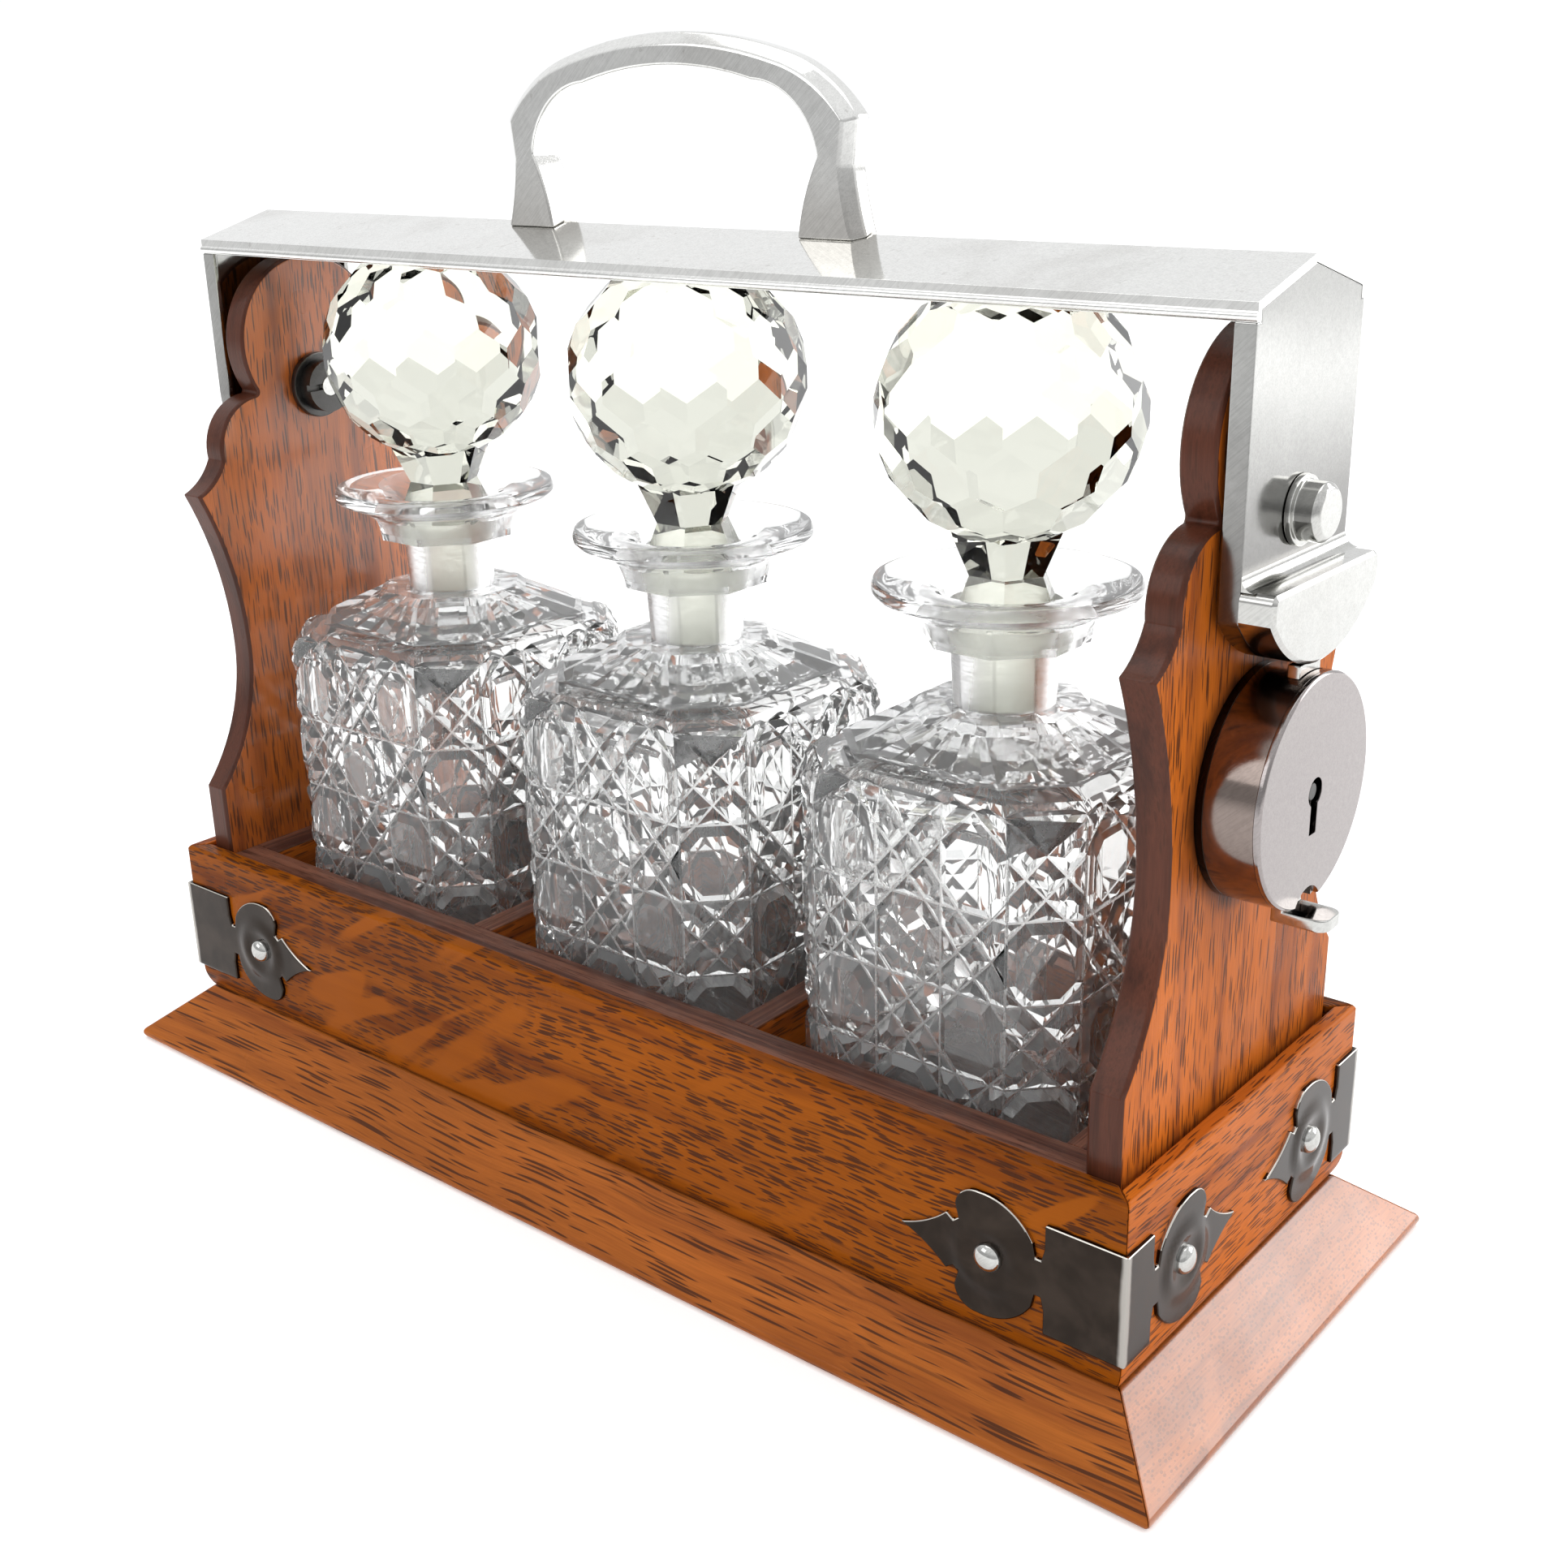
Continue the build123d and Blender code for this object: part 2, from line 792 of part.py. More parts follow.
def lock_bolt():
    """Bolt, windowed body and outward tab in one plate."""
    body_low = lock_height - bolt_body_height / 2
    body_high = lock_height + bolt_body_height / 2
    half = bolt_body_width / 2
    body = block(bolt_back, bolt_front, -half, half, body_low, body_high)
    body = fillet(body.edges().filter_by(Axis.X), 2.0)
    window = block(
        bolt_back - 1,
        bolt_front + 1,
        -bolt_window / 2,
        bolt_window / 2,
        body_low + 4,
        body_high - 4,
    )
    window = fillet(window.edges().filter_by(Axis.X), 2.0)
    tongue = block(
        bolt_back, bolt_front, -bolt_width / 2, bolt_width / 2, body_high - 4, bolt_tip
    )
    tail = block(
        bolt_back, bolt_front, -tab_width / 2, tab_width / 2, tab_top - tab_thickness, body_low + 4
    )
    tab = block(
        bolt_back,
        tab_reach,
        -tab_width / 2,
        tab_width / 2,
        tab_top - tab_thickness,
        tab_top,
    )
    tips = [e for e in tab.edges().filter_by(Axis.Z) if e.center().X > tab_reach - 0.1]
    tab = fillet(tips, tab_width / 3)
    return body - window + tongue + tail + tab


def lock_tumbler():
    """The lever that the key lifts, on its own pin behind the bolt."""
    back, front = tumbler_back, tumbler_back + tumbler_thickness
    eye = x_rod(tumbler_eye, back, front, tumbler_pin_y, tumbler_pin_z)
    low = tumbler_pin_z - tumbler_arm_height / 4
    arm = block(
        back, front, tumbler_pin_y, tumbler_pin_y + tumbler_arm, low, low + tumbler_arm_height
    )
    bore = x_rod(
        tumbler_pin_radius + running_fit, back - 1, front + 1, tumbler_pin_y, tumbler_pin_z
    )
    return eye + arm - bore


def tumbler_pin():
    front = tumbler_back + tumbler_thickness + 0.8
    return x_rod(tumbler_pin_radius, upright_outer, front, tumbler_pin_y, tumbler_pin_z)


def tumbler_spring():
    """A flat spring that lies over the lever, its foot on the back plate."""
    front = tumbler_back + tumbler_thickness
    start = tumbler_pin_y + tumbler_eye
    end = start + spring_length
    low = tumbler_pin_z + spring_gap
    leaf = block(tumbler_back, front, start, end, low, low + spring_leaf)
    foot = block(case_back, front, end - spring_foot, end, low - spring_foot, low)
    return leaf + foot


def screw_places():
    """Three screws at 120 degrees round the back plate."""
    ring = drum_radius - drum_wall - 4.5
    places = []
    for turn in (90, 210, 330):
        angle = math.radians(turn)
        places.append((ring * math.cos(angle), lock_height + ring * math.sin(angle)))
    return places


def lock_screws():
    made = []
    for y, z in screw_places():
        made.append(x_rod(screw_head, case_back, case_back + screw_head_height, y, z))
    return Compound(children=made)


# ---- corner brackets ----


def bracket_plan(band):
    """One arm of a bracket as a flat face: band, pierced lobes and a pointed tip."""
    half = bracket_band_half
    across = bracket_lobe_half
    along = bracket_reach
    root = Polyline(
        (0, 0),
        (0, half),
        (band, half),
        (band, 0.50 * across),
        (band + 0.02 * along, 0.30 * across),
        (band + 0.06 * along, 0.30 * across),
        (band + 0.08 * along, 0.52 * across),
    )
    lobe = ThreePointArc(
        root @ 1, (band + 0.25 * along, 0.91 * across), (band + 0.45 * along, across)
    )
    shoulder = ThreePointArc(
        lobe @ 1, (band + 0.56 * along, 0.91 * across), (band + 0.61 * along, 0.67 * across)
    )
    notch = Polyline(
        shoulder @ 1,
        (band + 0.585 * along, 0.45 * across),
        (band + 0.62 * along, 0.38 * across),
        (band + 0.67 * along, 0.47 * across),
    )
    leaf = ThreePointArc(notch @ 1, (band + 0.82 * along, 0.19 * across), (band + along, 0))
    upper = [root, lobe, shoulder, notch, leaf, Line(leaf @ 1, (0, 0))]
    above = make_face(upper)
    return above + mirror(above, about=Plane.XZ)


def bracket():
    """The front right bracket: two arms bent round the corner."""
    front = Plane(
        origin=(plinth_half_length, -plinth_half_depth, bracket_middle),
        x_dir=(-1, 0, 0),
        z_dir=(0, -1, 0),
    )
    end = Plane(
        origin=(plinth_half_length, -plinth_half_depth, bracket_middle),
        x_dir=(0, 1, 0),
        z_dir=(1, 0, 0),
    )
    plate = extrude(front * bracket_plan(bracket_front_band), amount=bracket_thickness)
    plate += extrude(end * bracket_plan(bracket_end_band), amount=bracket_thickness)
    corner = block(
        plinth_half_length,
        plinth_half_length + bracket_thickness,
        -plinth_half_depth - bracket_thickness,
        -plinth_half_depth,
        bracket_middle - bracket_band_half,
        bracket_middle + bracket_band_half,
    )
    return plate + corner


def stud_places():
    """Centres of the front right bracket's two studs, on the outside of the plinth."""
    front = (plinth_half_length - bracket_front_band - bracket_stud_at, -plinth_half_depth, bracket_middle)
    end = (plinth_half_length, -plinth_half_depth + bracket_end_band + bracket_stud_at, bracket_middle)
    return front, end


def stud_dome_shape():
    """A domed nail head, flat underneath, standing up Z."""
    return Pos(0, 0, stud_dome / 2) * Cone(stud_radius, 0.5 * stud_radius, stud_dome)


def corner_studs():
    (fx, fy, z), (ex, ey, _) = stud_places()
    dome = stud_dome_shape()
    front = Pos(fx, fy - bracket_thickness, z) * Rot(90, 0, 0) * dome
    end = Pos(ex + bracket_thickness, ey, z) * Rot(0, 90, 0) * dome
    return [front, end]


def at_all_corners(shape):
    """A front right piece, copied to the front left, back right and back left corners."""
    return [
        shape,
        mirror(shape, about=Plane.YZ),
        mirror(shape, about=Plane.XZ),
        mirror(mirror(shape, about=Plane.YZ), about=Plane.XZ),
    ]


# ---- decanters and stoppers ----


def cut_square(half, corner, height):
    """The corners of a level square with its own corners cut off."""
    near = half - corner
    return [
        (half, -near, height),
        (half, near, height),
        (near, half, height),
        (-near, half, height),
        (-half, near, height),
        (-half, -near, height),
        (-near, -half, height),
        (near, -half, height),
    ]


def octagon(flat, height):
    """The corners of a level regular octagon, by its half width across flats."""
    return cut_square(flat, flat * (2 - math.sqrt(2)), height)


def hexagon(radius, height):
    """The corners of a level regular hexagon."""
    turns = [math.radians(60 * step) for step in range(6)]
    return [(radius * math.cos(turn), radius * math.sin(turn), height) for turn in turns]


def banded(levels):
    """A closed solid: level outlines one over another, joined by flat faces."""
    faces = [
        make_face(Polyline(*levels[0], close=True)),
        make_face(Polyline(*levels[-1], close=True)),
    ]
    for low, high in zip(levels, levels[1:]):
        for here, there in zip(range(len(low)), [*range(1, len(low)), 0]):
            corners = (low[here], low[there], high[there], high[here])
            faces.append(make_face(Polyline(*corners, close=True)))
    return Solid(Shell(faces))


def decanter():
    """Square cut-cornered bottle with an eight-sided neck and a wide thick lip, hollow."""
    body = banded(
        [
            cut_square(decanter_half - decanter_foot, decanter_corner, deck_top),
            cut_square(decanter_half, decanter_corner, deck_top + decanter_foot),
            cut_square(decanter_half, decanter_corner, decanter_shoulder),
            octagon(decanter_neck_flat + neck_step, decanter_neck_base),
            octagon(decanter_neck_flat, decanter_neck_base),
            octagon(decanter_neck_flat, decanter_flare + neck_sink),
        ]
    )
    lip_low = decanter_lip_top - decanter_lip_edge
    under = decanter_neck_flat - 0.5
    reach = decanter_lip_radius - under
    rise = lip_low - decanter_flare
    lip = Polyline(
        (0, decanter_flare),
        (under, decanter_flare),
        (under + 0.09 * reach, decanter_flare + 0.40 * rise),
        (under + 0.33 * reach, decanter_flare + 0.72 * rise),
        (decanter_lip_radius, lip_low),
        (decanter_lip_radius, decanter_lip_top - lip_round),
        (decanter_lip_radius - lip_round, decanter_lip_top),
        (0, decanter_lip_top),
        close=True,
    )
    body += revolve(Plane.XZ * make_face(lip), Axis.Z)
    return body - decanter_cavity()


def decanter_cavity():
    """The inside: square well, sloping shoulder and a tapered ground mouth."""
    half = decanter_half - decanter_wall
    corner = decanter_corner - decanter_wall * 0.6
    plug_low = decanter_lip_top - plug_drop
    well = banded(
        [
            cut_square(half, corner, deck_top + decanter_floor),
            cut_square(half, corner, decanter_shoulder - 0.6 * decanter_wall),
            octagon(mouth_radius - plug_taper, plug_low),
        ]
    )
    spread = decanter_lip_radius - mouth_rim - mouth_radius
    mouth = Polyline(
        (0, plug_low - 2.0),
        (mouth_radius - plug_taper, plug_low - 2.0),
        (mouth_radius, decanter_lip_top - mouth_flare),
        (mouth_radius + 0.12 * spread, decanter_lip_top - 0.5 * mouth_flare),
        (mouth_radius + 0.40 * spread, decanter_lip_top - 0.16 * mouth_flare),
        (mouth_radius + spread, decanter_lip_top),
        (0, decanter_lip_top),
        close=True,
    )
    return well + revolve(Plane.XZ * make_face(mouth), Axis.Z)


def faceted_ball():
    """A ball cut with staggered rows of flat facets."""
    ball = Box(4 * stopper_radius, 4 * stopper_radius, 2 * stopper_radius)
    rows = sorted(set(stopper_rows) | {-row for row in stopper_rows})
    for index, row in enumerate(rows):
        for step in range(stopper_facets):
            turn = (step + 0.5 * (index % 2)) * 360 / stopper_facets
            normal = Vector(1, 0, 0).rotate(Axis.Y, -row).rotate(Axis.Z, turn)
            cut = Plane(origin=normal * stopper_radius, z_dir=normal)
            ball = split(ball, bisect_by=cut, keep=Keep.BOTTOM)
    return ball


def stopper():
    """Faceted ball, waisted six-sided neck and a tapered ground plug."""
    ball = Pos(0, 0, stopper_centre) * faceted_ball()
    ball_low = stopper_centre - stopper_radius
    plug_top = decanter_lip_top - mouth_flare
    plug_low = decanter_lip_top - plug_drop + 1.0
    top_radius = mouth_radius - plug_fit
    low_radius = mouth_radius - plug_taper - plug_fit
    waist = (ball_low + plug_top) / 2
    neck = banded(
        [
            hexagon(stopper_neck_top, ball_low + stopper_neck_sink),
            hexagon(stopper_neck_radius, waist),
            hexagon(top_radius - stopper_neck_step, plug_top),
        ]
    )
    plug = Pos(0, 0, (plug_top + plug_low) / 2) * Cone(low_radius, top_radius, plug_top - plug_low)
    return ball + neck + plug


# ---- hand out the pieces ----


def all_parts():
    parts = {}
    parts.update(
        frame_sides(
            skirt_section,
            skirt_section,
            skirt_half_length,
            skirt_half_depth,
            skirt_width,
            ("skirt_front", "skirt_right", "skirt_back", "skirt_left"),
        )
    )
    parts.update(
        frame_sides(
            side_wall_section,
            end_wall_section,
            plinth_half_length,
            plinth_half_depth,
            plinth_wall,
            ("plinth_front", "plinth_right", "plinth_back", "plinth_left"),
        )
    )
    studs = corner_studs()
    parts["base_board"] = base_board()
    parts["deck"] = deck()
    parts.update(liners())
    parts["upright_right"] = upright_right()
    parts["upright_left"] = mirrored_x(parts["upright_right"])
    names = ("bracket_front_right", "bracket_front_left", "bracket_back_right", "bracket_back_left")
    parts.update(zip(names, at_all_corners(bracket())))
    parts["bracket_studs"] = Compound(
        children=[copy for stud in studs for copy in at_all_corners(stud)]
    )
    parts["carrying_bar"] = carrying_bar()
    parts["strap_right"] = strap(boss_reach)
    parts["strap_left"] = mirrored_x(strap(left_strap_end + 0.01))
    parts["hasp_boss"] = hasp_boss()
    parts["handle"] = handle()
    parts["handle_screws"] = handle_screws()
    for name, piece in (
        ("pivot_collar", pivot_collar()),
        ("pivot_stud", pivot_stud()),
        ("pivot_washer", pivot_washer()),
        ("pivot_nut", pivot_nut()),
    ):
        parts[name + "_right"] = piece
        parts[name + "_left"] = mirrored_x(piece)
    parts["lock_case"] = lock_case()
    parts["lock_back_plate"] = lock_back_plate()
    parts["lock_cover"] = lock_cover()
    parts["drill_pin"] = drill_pin()
    parts["lock_bolt"] = lock_bolt()
    parts["lock_tumbler"] = lock_tumbler()
    parts["tumbler_pin"] = tumbler_pin()
    parts["tumbler_spring"] = tumbler_spring()
    parts["lock_screws"] = lock_screws()
    bottle, ball = decanter(), stopper()
    for index, name in enumerate(("left", "centre", "right")):
        place = Pos((index - 1) * bottle_pitch, 0, 0)
        parts["decanter_" + name] = place * bottle
        parts["stopper_" + name] = place * ball
    return parts


os.makedirs("parts", exist_ok=True)
for node, shape in all_parts().items():
    export_step(shape, os.path.join("parts", node + ".step"))
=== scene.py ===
import json
import math

import bmesh
import bpy
from bpy.props import FloatProperty, FloatVectorProperty, PointerProperty
from mathutils import Matrix, Vector

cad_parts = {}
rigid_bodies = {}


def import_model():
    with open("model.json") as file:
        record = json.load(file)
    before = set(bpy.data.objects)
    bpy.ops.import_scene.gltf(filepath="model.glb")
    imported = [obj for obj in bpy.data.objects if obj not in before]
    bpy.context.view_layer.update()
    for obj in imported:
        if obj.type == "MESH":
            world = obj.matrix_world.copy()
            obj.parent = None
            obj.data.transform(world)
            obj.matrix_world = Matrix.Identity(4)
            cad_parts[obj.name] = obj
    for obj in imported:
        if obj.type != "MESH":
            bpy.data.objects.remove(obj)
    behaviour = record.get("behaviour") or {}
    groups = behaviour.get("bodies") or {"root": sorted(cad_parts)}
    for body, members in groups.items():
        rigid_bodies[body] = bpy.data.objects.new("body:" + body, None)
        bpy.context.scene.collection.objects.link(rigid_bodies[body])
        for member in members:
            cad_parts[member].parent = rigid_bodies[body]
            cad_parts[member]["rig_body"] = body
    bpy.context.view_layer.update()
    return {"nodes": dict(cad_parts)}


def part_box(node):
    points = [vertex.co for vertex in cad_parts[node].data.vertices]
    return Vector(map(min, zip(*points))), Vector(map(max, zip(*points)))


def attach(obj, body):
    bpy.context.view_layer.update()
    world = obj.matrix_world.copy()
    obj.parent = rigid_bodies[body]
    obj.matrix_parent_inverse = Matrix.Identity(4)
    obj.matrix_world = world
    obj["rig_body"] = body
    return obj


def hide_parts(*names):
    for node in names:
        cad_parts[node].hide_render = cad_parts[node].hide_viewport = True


bl_info = {
    "name": "Antique Tantalus",
    "version": (1, 0, 0),
    "blender": (4, 5, 0),
    "location": "3D View > Sidebar > Tantalus",
    "description": "Dresses an oak tantalus with its cut glass, plated bar and drum lock",
    "category": "Object",
}

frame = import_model()

MM = 0.001
BOTTLES = ("left", "centre", "right")


# ---- sizes and colours a user may change ----


def number(name, description, default, **limits):
    """A plain number setting."""
    return FloatProperty(name=name, description=description, default=default, **limits)


def size(name, description, default):
    """A length setting, in metres."""
    return number(name, description, default, subtype="DISTANCE", unit="LENGTH", precision=4)


def factor(name, description, default):
    """A setting between none and all."""
    return number(name, description, default, min=0.0, max=1.0, subtype="FACTOR")


def colour(name, description, default):
    """A colour setting."""
    return FloatVectorProperty(
        name=name, description=description, default=default, subtype="COLOR", min=0.0, max=1.0
    )


class WoodSettings(bpy.types.PropertyGroup):
    """Colours and edges of the wooden pieces."""

    arris: size("Arris", "Width of the worn edge on the woodwork", 0.0006)
    plinth_light: colour("Plinth light", "Golden part of the plinth's oak", (0.31, 0.078, 0.004))
    plinth_dark: colour("Plinth dark", "Red-brown part of the plinth's oak", (0.14, 0.029, 0.003))
    end_light: colour("End light", "Orange part of uprights and plinth ends", (0.52, 0.128, 0.013))
    end_dark: colour("End dark", "Brown part of uprights and plinth ends", (0.20, 0.046, 0.013))
    skirt_light: colour("Skirt light", "Orange part of the skirt's oak", (0.42, 0.118, 0.018))
    skirt_dark: colour("Skirt dark", "Brown part of the skirt's oak", (0.23, 0.057, 0.011))
    edge_light: colour("Edge light", "Lighter part of the uprights' edges", (0.092, 0.027, 0.014))
    edge_dark: colour("Edge dark", "Darker part of the uprights' edges", (0.032, 0.010, 0.006))
    oak_pore: colour("Oak pores", "Dark dashes in the oak", (0.050, 0.017, 0.008))
    rosewood_light: colour("Rosewood light", "Paler streaks", (0.21, 0.085, 0.052))
    rosewood_dark: colour("Rosewood dark", "Darker streaks", (0.060, 0.022, 0.015))
    # painted light: the deck is rosewood made paler, to brighten what shows through the bottle
    # bases
    deck_light: colour("Deck light", "Paler floor under the bottles", (0.70, 0.56, 0.49))
    deck_dark: colour("Deck dark", "Darker floor under the bottles", (0.46, 0.34, 0.29))


class MetalSettings(bpy.types.PropertyGroup):
    """Colours and edges of the metalwork."""

    edge: size("Edge", "Width of the softened edge on the metalwork", 0.0004)
    plate: colour("Plate", "Bright silver plate", (0.81, 0.81, 0.79))
    tarnish: colour("Tarnish", "Stain in the plate", (0.42, 0.40, 0.37))
    strap: colour("Strap", "Greyer plate of the straps", (0.46, 0.46, 0.445))
    # painted dark reflection and shade low on the straps, also the colour of their faint stains
    strap_low: colour("Strap, low down", "Dulled plate round the pivots", (0.15, 0.145, 0.14))
    boss: colour("Boss", "Plate of the boss, pivot heads and nail heads", (0.55, 0.55, 0.53))
    cover: colour("Lock cover", "Rubbed plate of the drum's face", (0.33, 0.30, 0.295))
    # painted dark brown reflection in the drum's wall
    drum: colour("Drum", "Browner plate of the drum's wall", (0.24, 0.195, 0.175))
    bracket: colour("Bracket", "Dark metal of the corner brackets", (0.032, 0.024, 0.019))
    brass: colour("Brass", "Lock works", (0.62, 0.42, 0.16))
    steel: colour("Steel", "Nuts, washers and screws", (0.10, 0.098, 0.095))


class GlassSettings(bpy.types.PropertyGroup):
    """Sizes and colours of the cut glass."""

    groove_half_width: size("Groove half width", "Half width of the upright and level cuts", 0.0024)
    groove_depth: size("Groove depth", "Depth of the upright and level cuts", 0.0018)
    cross_half_width: size("Cross half width", "Half width of the slanting cuts", 0.0025)
    cross_depth: size("Cross depth", "Depth of the slanting cuts", 0.0018)
    groove_floor: size("Groove floor", "Depth at which the cuts are rounded off", 0.0016)
    flute_depth: size("Flute depth", "Depth of the shoulder flutes", 0.0014)
    body: colour("Bottle glass", "Tint of the decanters", (0.985, 0.99, 0.985))
    ball: colour("Stopper glass", "Tint of the stoppers", (0.80, 0.81, 0.715))
    haze: factor("Haze", "Share of dust and fine wear in the cut glass", 0.06)
    worn_haze: factor("Worn haze", "Share of wear on the bottles' shoulders and bases", 0.10)


class StageSettings(bpy.types.PropertyGroup):
    """Camera, floor and light."""

    lens: number("Lens", "Focal length of the camera", 43.87, unit="CAMERA")
    floor: colour("Floor", "Pale studio floor", (0.88, 0.88, 0.88))
    floor_glow: number("Floor glow", "Light that comes through the floor", 0.28)
    key_power: number("Key light", "Power of the main soft light", 15.0, unit="POWER")


SETTINGS = {
    "tantalus_wood": WoodSettings,
    "tantalus_metal": MetalSettings,
    "tantalus_glass": GlassSettings,
    "tantalus_stage": StageSettings,
}


# ---- mesh helpers ----


def merged_copy(node, flatness=1.0):
    """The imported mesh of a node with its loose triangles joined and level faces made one."""
    bm = bmesh.new()
    bm.from_mesh(frame["nodes"][node].data)
    bmesh.ops.remove_doubles(bm, verts=bm.verts, dist=0.01 * MM)
    limit = math.radians(flatness)
    bmesh.ops.dissolve_limit(bm, angle_limit=limit, verts=bm.verts, edges=bm.edges)
    return bm


def sharp_edges(bm, angle):
    """Edges where two faces meet at more than an angle, in degrees."""
    limit = math.radians(angle)
    return [e for e in bm.edges if len(e.link_faces) == 2 and e.calc_face_angle(0.0) > limit]


def round_edges(bm, edges, width, segments=2):
    """Rounds some edges of a mesh by a small width."""
    bmesh.ops.bevel(
        bm, geom=edges, offset=width, segments=segments, profile=0.5, affect="EDGES",
        clamp_overlap=True, material=-1,
    )


def crease_edges(bm, angle=35.0):
    """Keeps the edges over an angle, in degrees, crisp between smooth faces."""
    for edge in sharp_edges(bm, angle):
        edge.smooth = False


def spun(bm, profile, centre, axis, steps):
    """Turns a profile full circle about an axis."""
    verts = [bm.verts.new(point) for point in profile]
    edges = [bm.edges.new(pair) for pair in zip(verts, verts[1:])]
    bmesh.ops.spin(
        bm, geom=verts + edges, cent=centre, axis=axis, angle=math.tau, steps=steps,
        use_merge=True,
    )


def corners(points):
    """The low and the high corner of the box round some points."""
    return [Vector([pick(point[i] for point in points) for i in range(3)]) for pick in (min, max)]


def finished(bm, node, kind, materials, crease=32.0, evened=True):
    """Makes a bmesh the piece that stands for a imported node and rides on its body.

    With a crease of None the smooth and sharp marks of the bmesh are kept.
    """
    name = node + "_" + kind
    mesh = bpy.data.meshes.new(name)
    bm.to_mesh(mesh)
    bm.free()
    packed_normals = mesh.attributes.get("custom_normal")
    if packed_normals:
        mesh.attributes.remove(packed_normals)
    for material in materials:
        mesh.materials.append(material)
    if crease:
        mesh.shade_smooth()
        mesh.set_sharp_from_angle(angle=math.radians(crease))
    piece = bpy.data.objects.new(name, mesh)
    bpy.context.scene.collection.objects.link(piece)
    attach(piece, frame["nodes"][node]["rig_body"])
    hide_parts(node)
    if evened:
        shading = piece.modifiers.new("Even shading", "WEIGHTED_NORMAL")
        shading.keep_sharp = True


# ---- material helpers ----


def blank_material(name):
    """A new material, its tree with only Object coordinates in it, and their socket."""
    material = bpy.data.materials.new(name)
    material.use_nodes = True
    tree = material.node_tree
    tree.nodes.clear()
    return material, tree, add(tree, "ShaderNodeTexCoord").outputs["Object"]


def add(tree, kind, inputs=None, **settings):
    """Adds a shader node; an input may be a value or another node's socket."""
    made = tree.nodes.new(kind)
    for key, value in settings.items():
        setattr(made, key, value)
    for key, value in (inputs or {}).items():
        if isinstance(value, bpy.types.NodeSocket):
            tree.links.new(value, made.inputs[key])
        else:
            made.inputs[key].default_value = value
    return made


def rgba(colour_value, scale=1.0):
    """A colour with its alpha, made lighter or darker."""
    return (*[min(1.0, channel * scale) for channel in colour_value], 1.0)


def mixed(tree, factor, a, b, blend="MIX"):
    """Mixes two colours and returns the colour socket."""
    inputs = {0: factor, 6: a, 7: b}
    return add(tree, "ShaderNodeMix", inputs, data_type="RGBA", blend_type=blend).outputs[2]


def shaded(tree, base, shade):
    """A colour made lighter or darker by a socket."""
    grey = add(tree, "ShaderNodeCombineColor", {0: shade, 1: shade, 2: shade}).outputs[0]
    return mixed(tree, 1.0, base, grey, "MULTIPLY")


def maths(tree, operation, a, b=0.0, clamp=False):
    """One step of arithmetic, as a socket."""
    made = add(tree, "ShaderNodeMath", {0: a, 1: b}, operation=operation, use_clamp=clamp)
    return made.outputs[0]


def vector_maths(tree, operation, a, b=(0.0, 0.0, 0.0), result="Vector"):
    """One step of arithmetic on vectors, as a socket."""
    made = add(tree, "ShaderNodeVectorMath", {0: a, 1: b}, operation=operation)
    return made.outputs[result]


def parts(tree, vector):
    """The three numbers of a vector, as sockets."""
    return add(tree, "ShaderNodeSeparateXYZ", {0: vector}).outputs


def ramp(tree, value, low, high, start=0.0, end=1.0):
    """A smooth ramp of a value from low to high."""
    inputs = {"Value": value, "From Min": low, "From Max": high, "To Min": start, "To Max": end}
    made = add(tree, "ShaderNodeMapRange", inputs, interpolation_type="SMOOTHSTEP")
    return made.outputs[0]


def mapped(tree, vector, **inputs):
    """A vector turned, moved or stretched."""
    return add(tree, "ShaderNodeMapping", {"Vector": vector, **inputs}).outputs[0]


def noise(tree, vector, scale, detail=2.0, roughness=0.5, distortion=0.0):
    """A noise pattern in turns per metre, alike in all directions or with three scales."""
    inputs = {
        "Vector": mapped(tree, vector, Scale=scale if isinstance(scale, tuple) else (scale,) * 3),
        "Scale": 1.0,
        "Detail": detail,
        "Roughness": roughness,
        "Distortion": distortion,
    }
    return add(tree, "ShaderNodeTexNoise", inputs).outputs[0]


def bumped(tree, height, strength, distance):
    """A bump normal from a height socket."""
    inputs = {"Height": height, "Strength": strength, "Distance": distance}
    return add(tree, "ShaderNodeBump", inputs).outputs[0]


def surface(tree, inputs):
    """The shader and the output of a material."""
    shader = add(tree, "ShaderNodeBsdfPrincipled", inputs)
    add(tree, "ShaderNodeOutputMaterial", {0: shader.outputs[0]})


# ---- woods ----

GRAIN_TURN = {
    "X": (0.0, 0.0, 0.0),
    "Y": (0.0, 0.0, -math.pi / 2),
    "Z": (0.0, math.pi / 2, 0.0),
}
# turns per metre along the grain and across it
FIGURE = (6.0, 120.0, 120.0)
BROAD_BANDS = (5.0, 20.0, 20.0)
HAIRLINES = (22.0, 900.0, 900.0)
FIBRES = (60.0, 2400.0, 2400.0)
RIBBONS = (15.0, 30.0, 72.0)
RIBBON_SLANT = 0.56


def blank_wood(name, grain, shift, palette):
    """A new material, its tree, its place, its place along the grain, and its two colours."""
    material, tree, place = blank_material(name)
    along = mapped(tree, place, Rotation=GRAIN_TURN[grain], Location=shift)
    wood = bpy.context.scene.tantalus_wood
    colours = [getattr(wood, palette + tone) for tone in ("_light", "_dark")]
    return material, tree, place, along, *colours


def wavered(tree, vector, scale, amount):
    """A vector pushed about across the grain by a slow noise, in metres."""
    drift = add(tree, "ShaderNodeTexNoise", {"Vector": vector, "Scale": scale, "Detail": 1.0})
    middle = vector_maths(tree, "SUBTRACT", drift.outputs["Color"], (0.5, 0.5, 0.5))
    push = vector_maths(tree, "MULTIPLY", middle, (0.0, amount, amount))
    return vector_maths(tree, "ADD", vector, push)


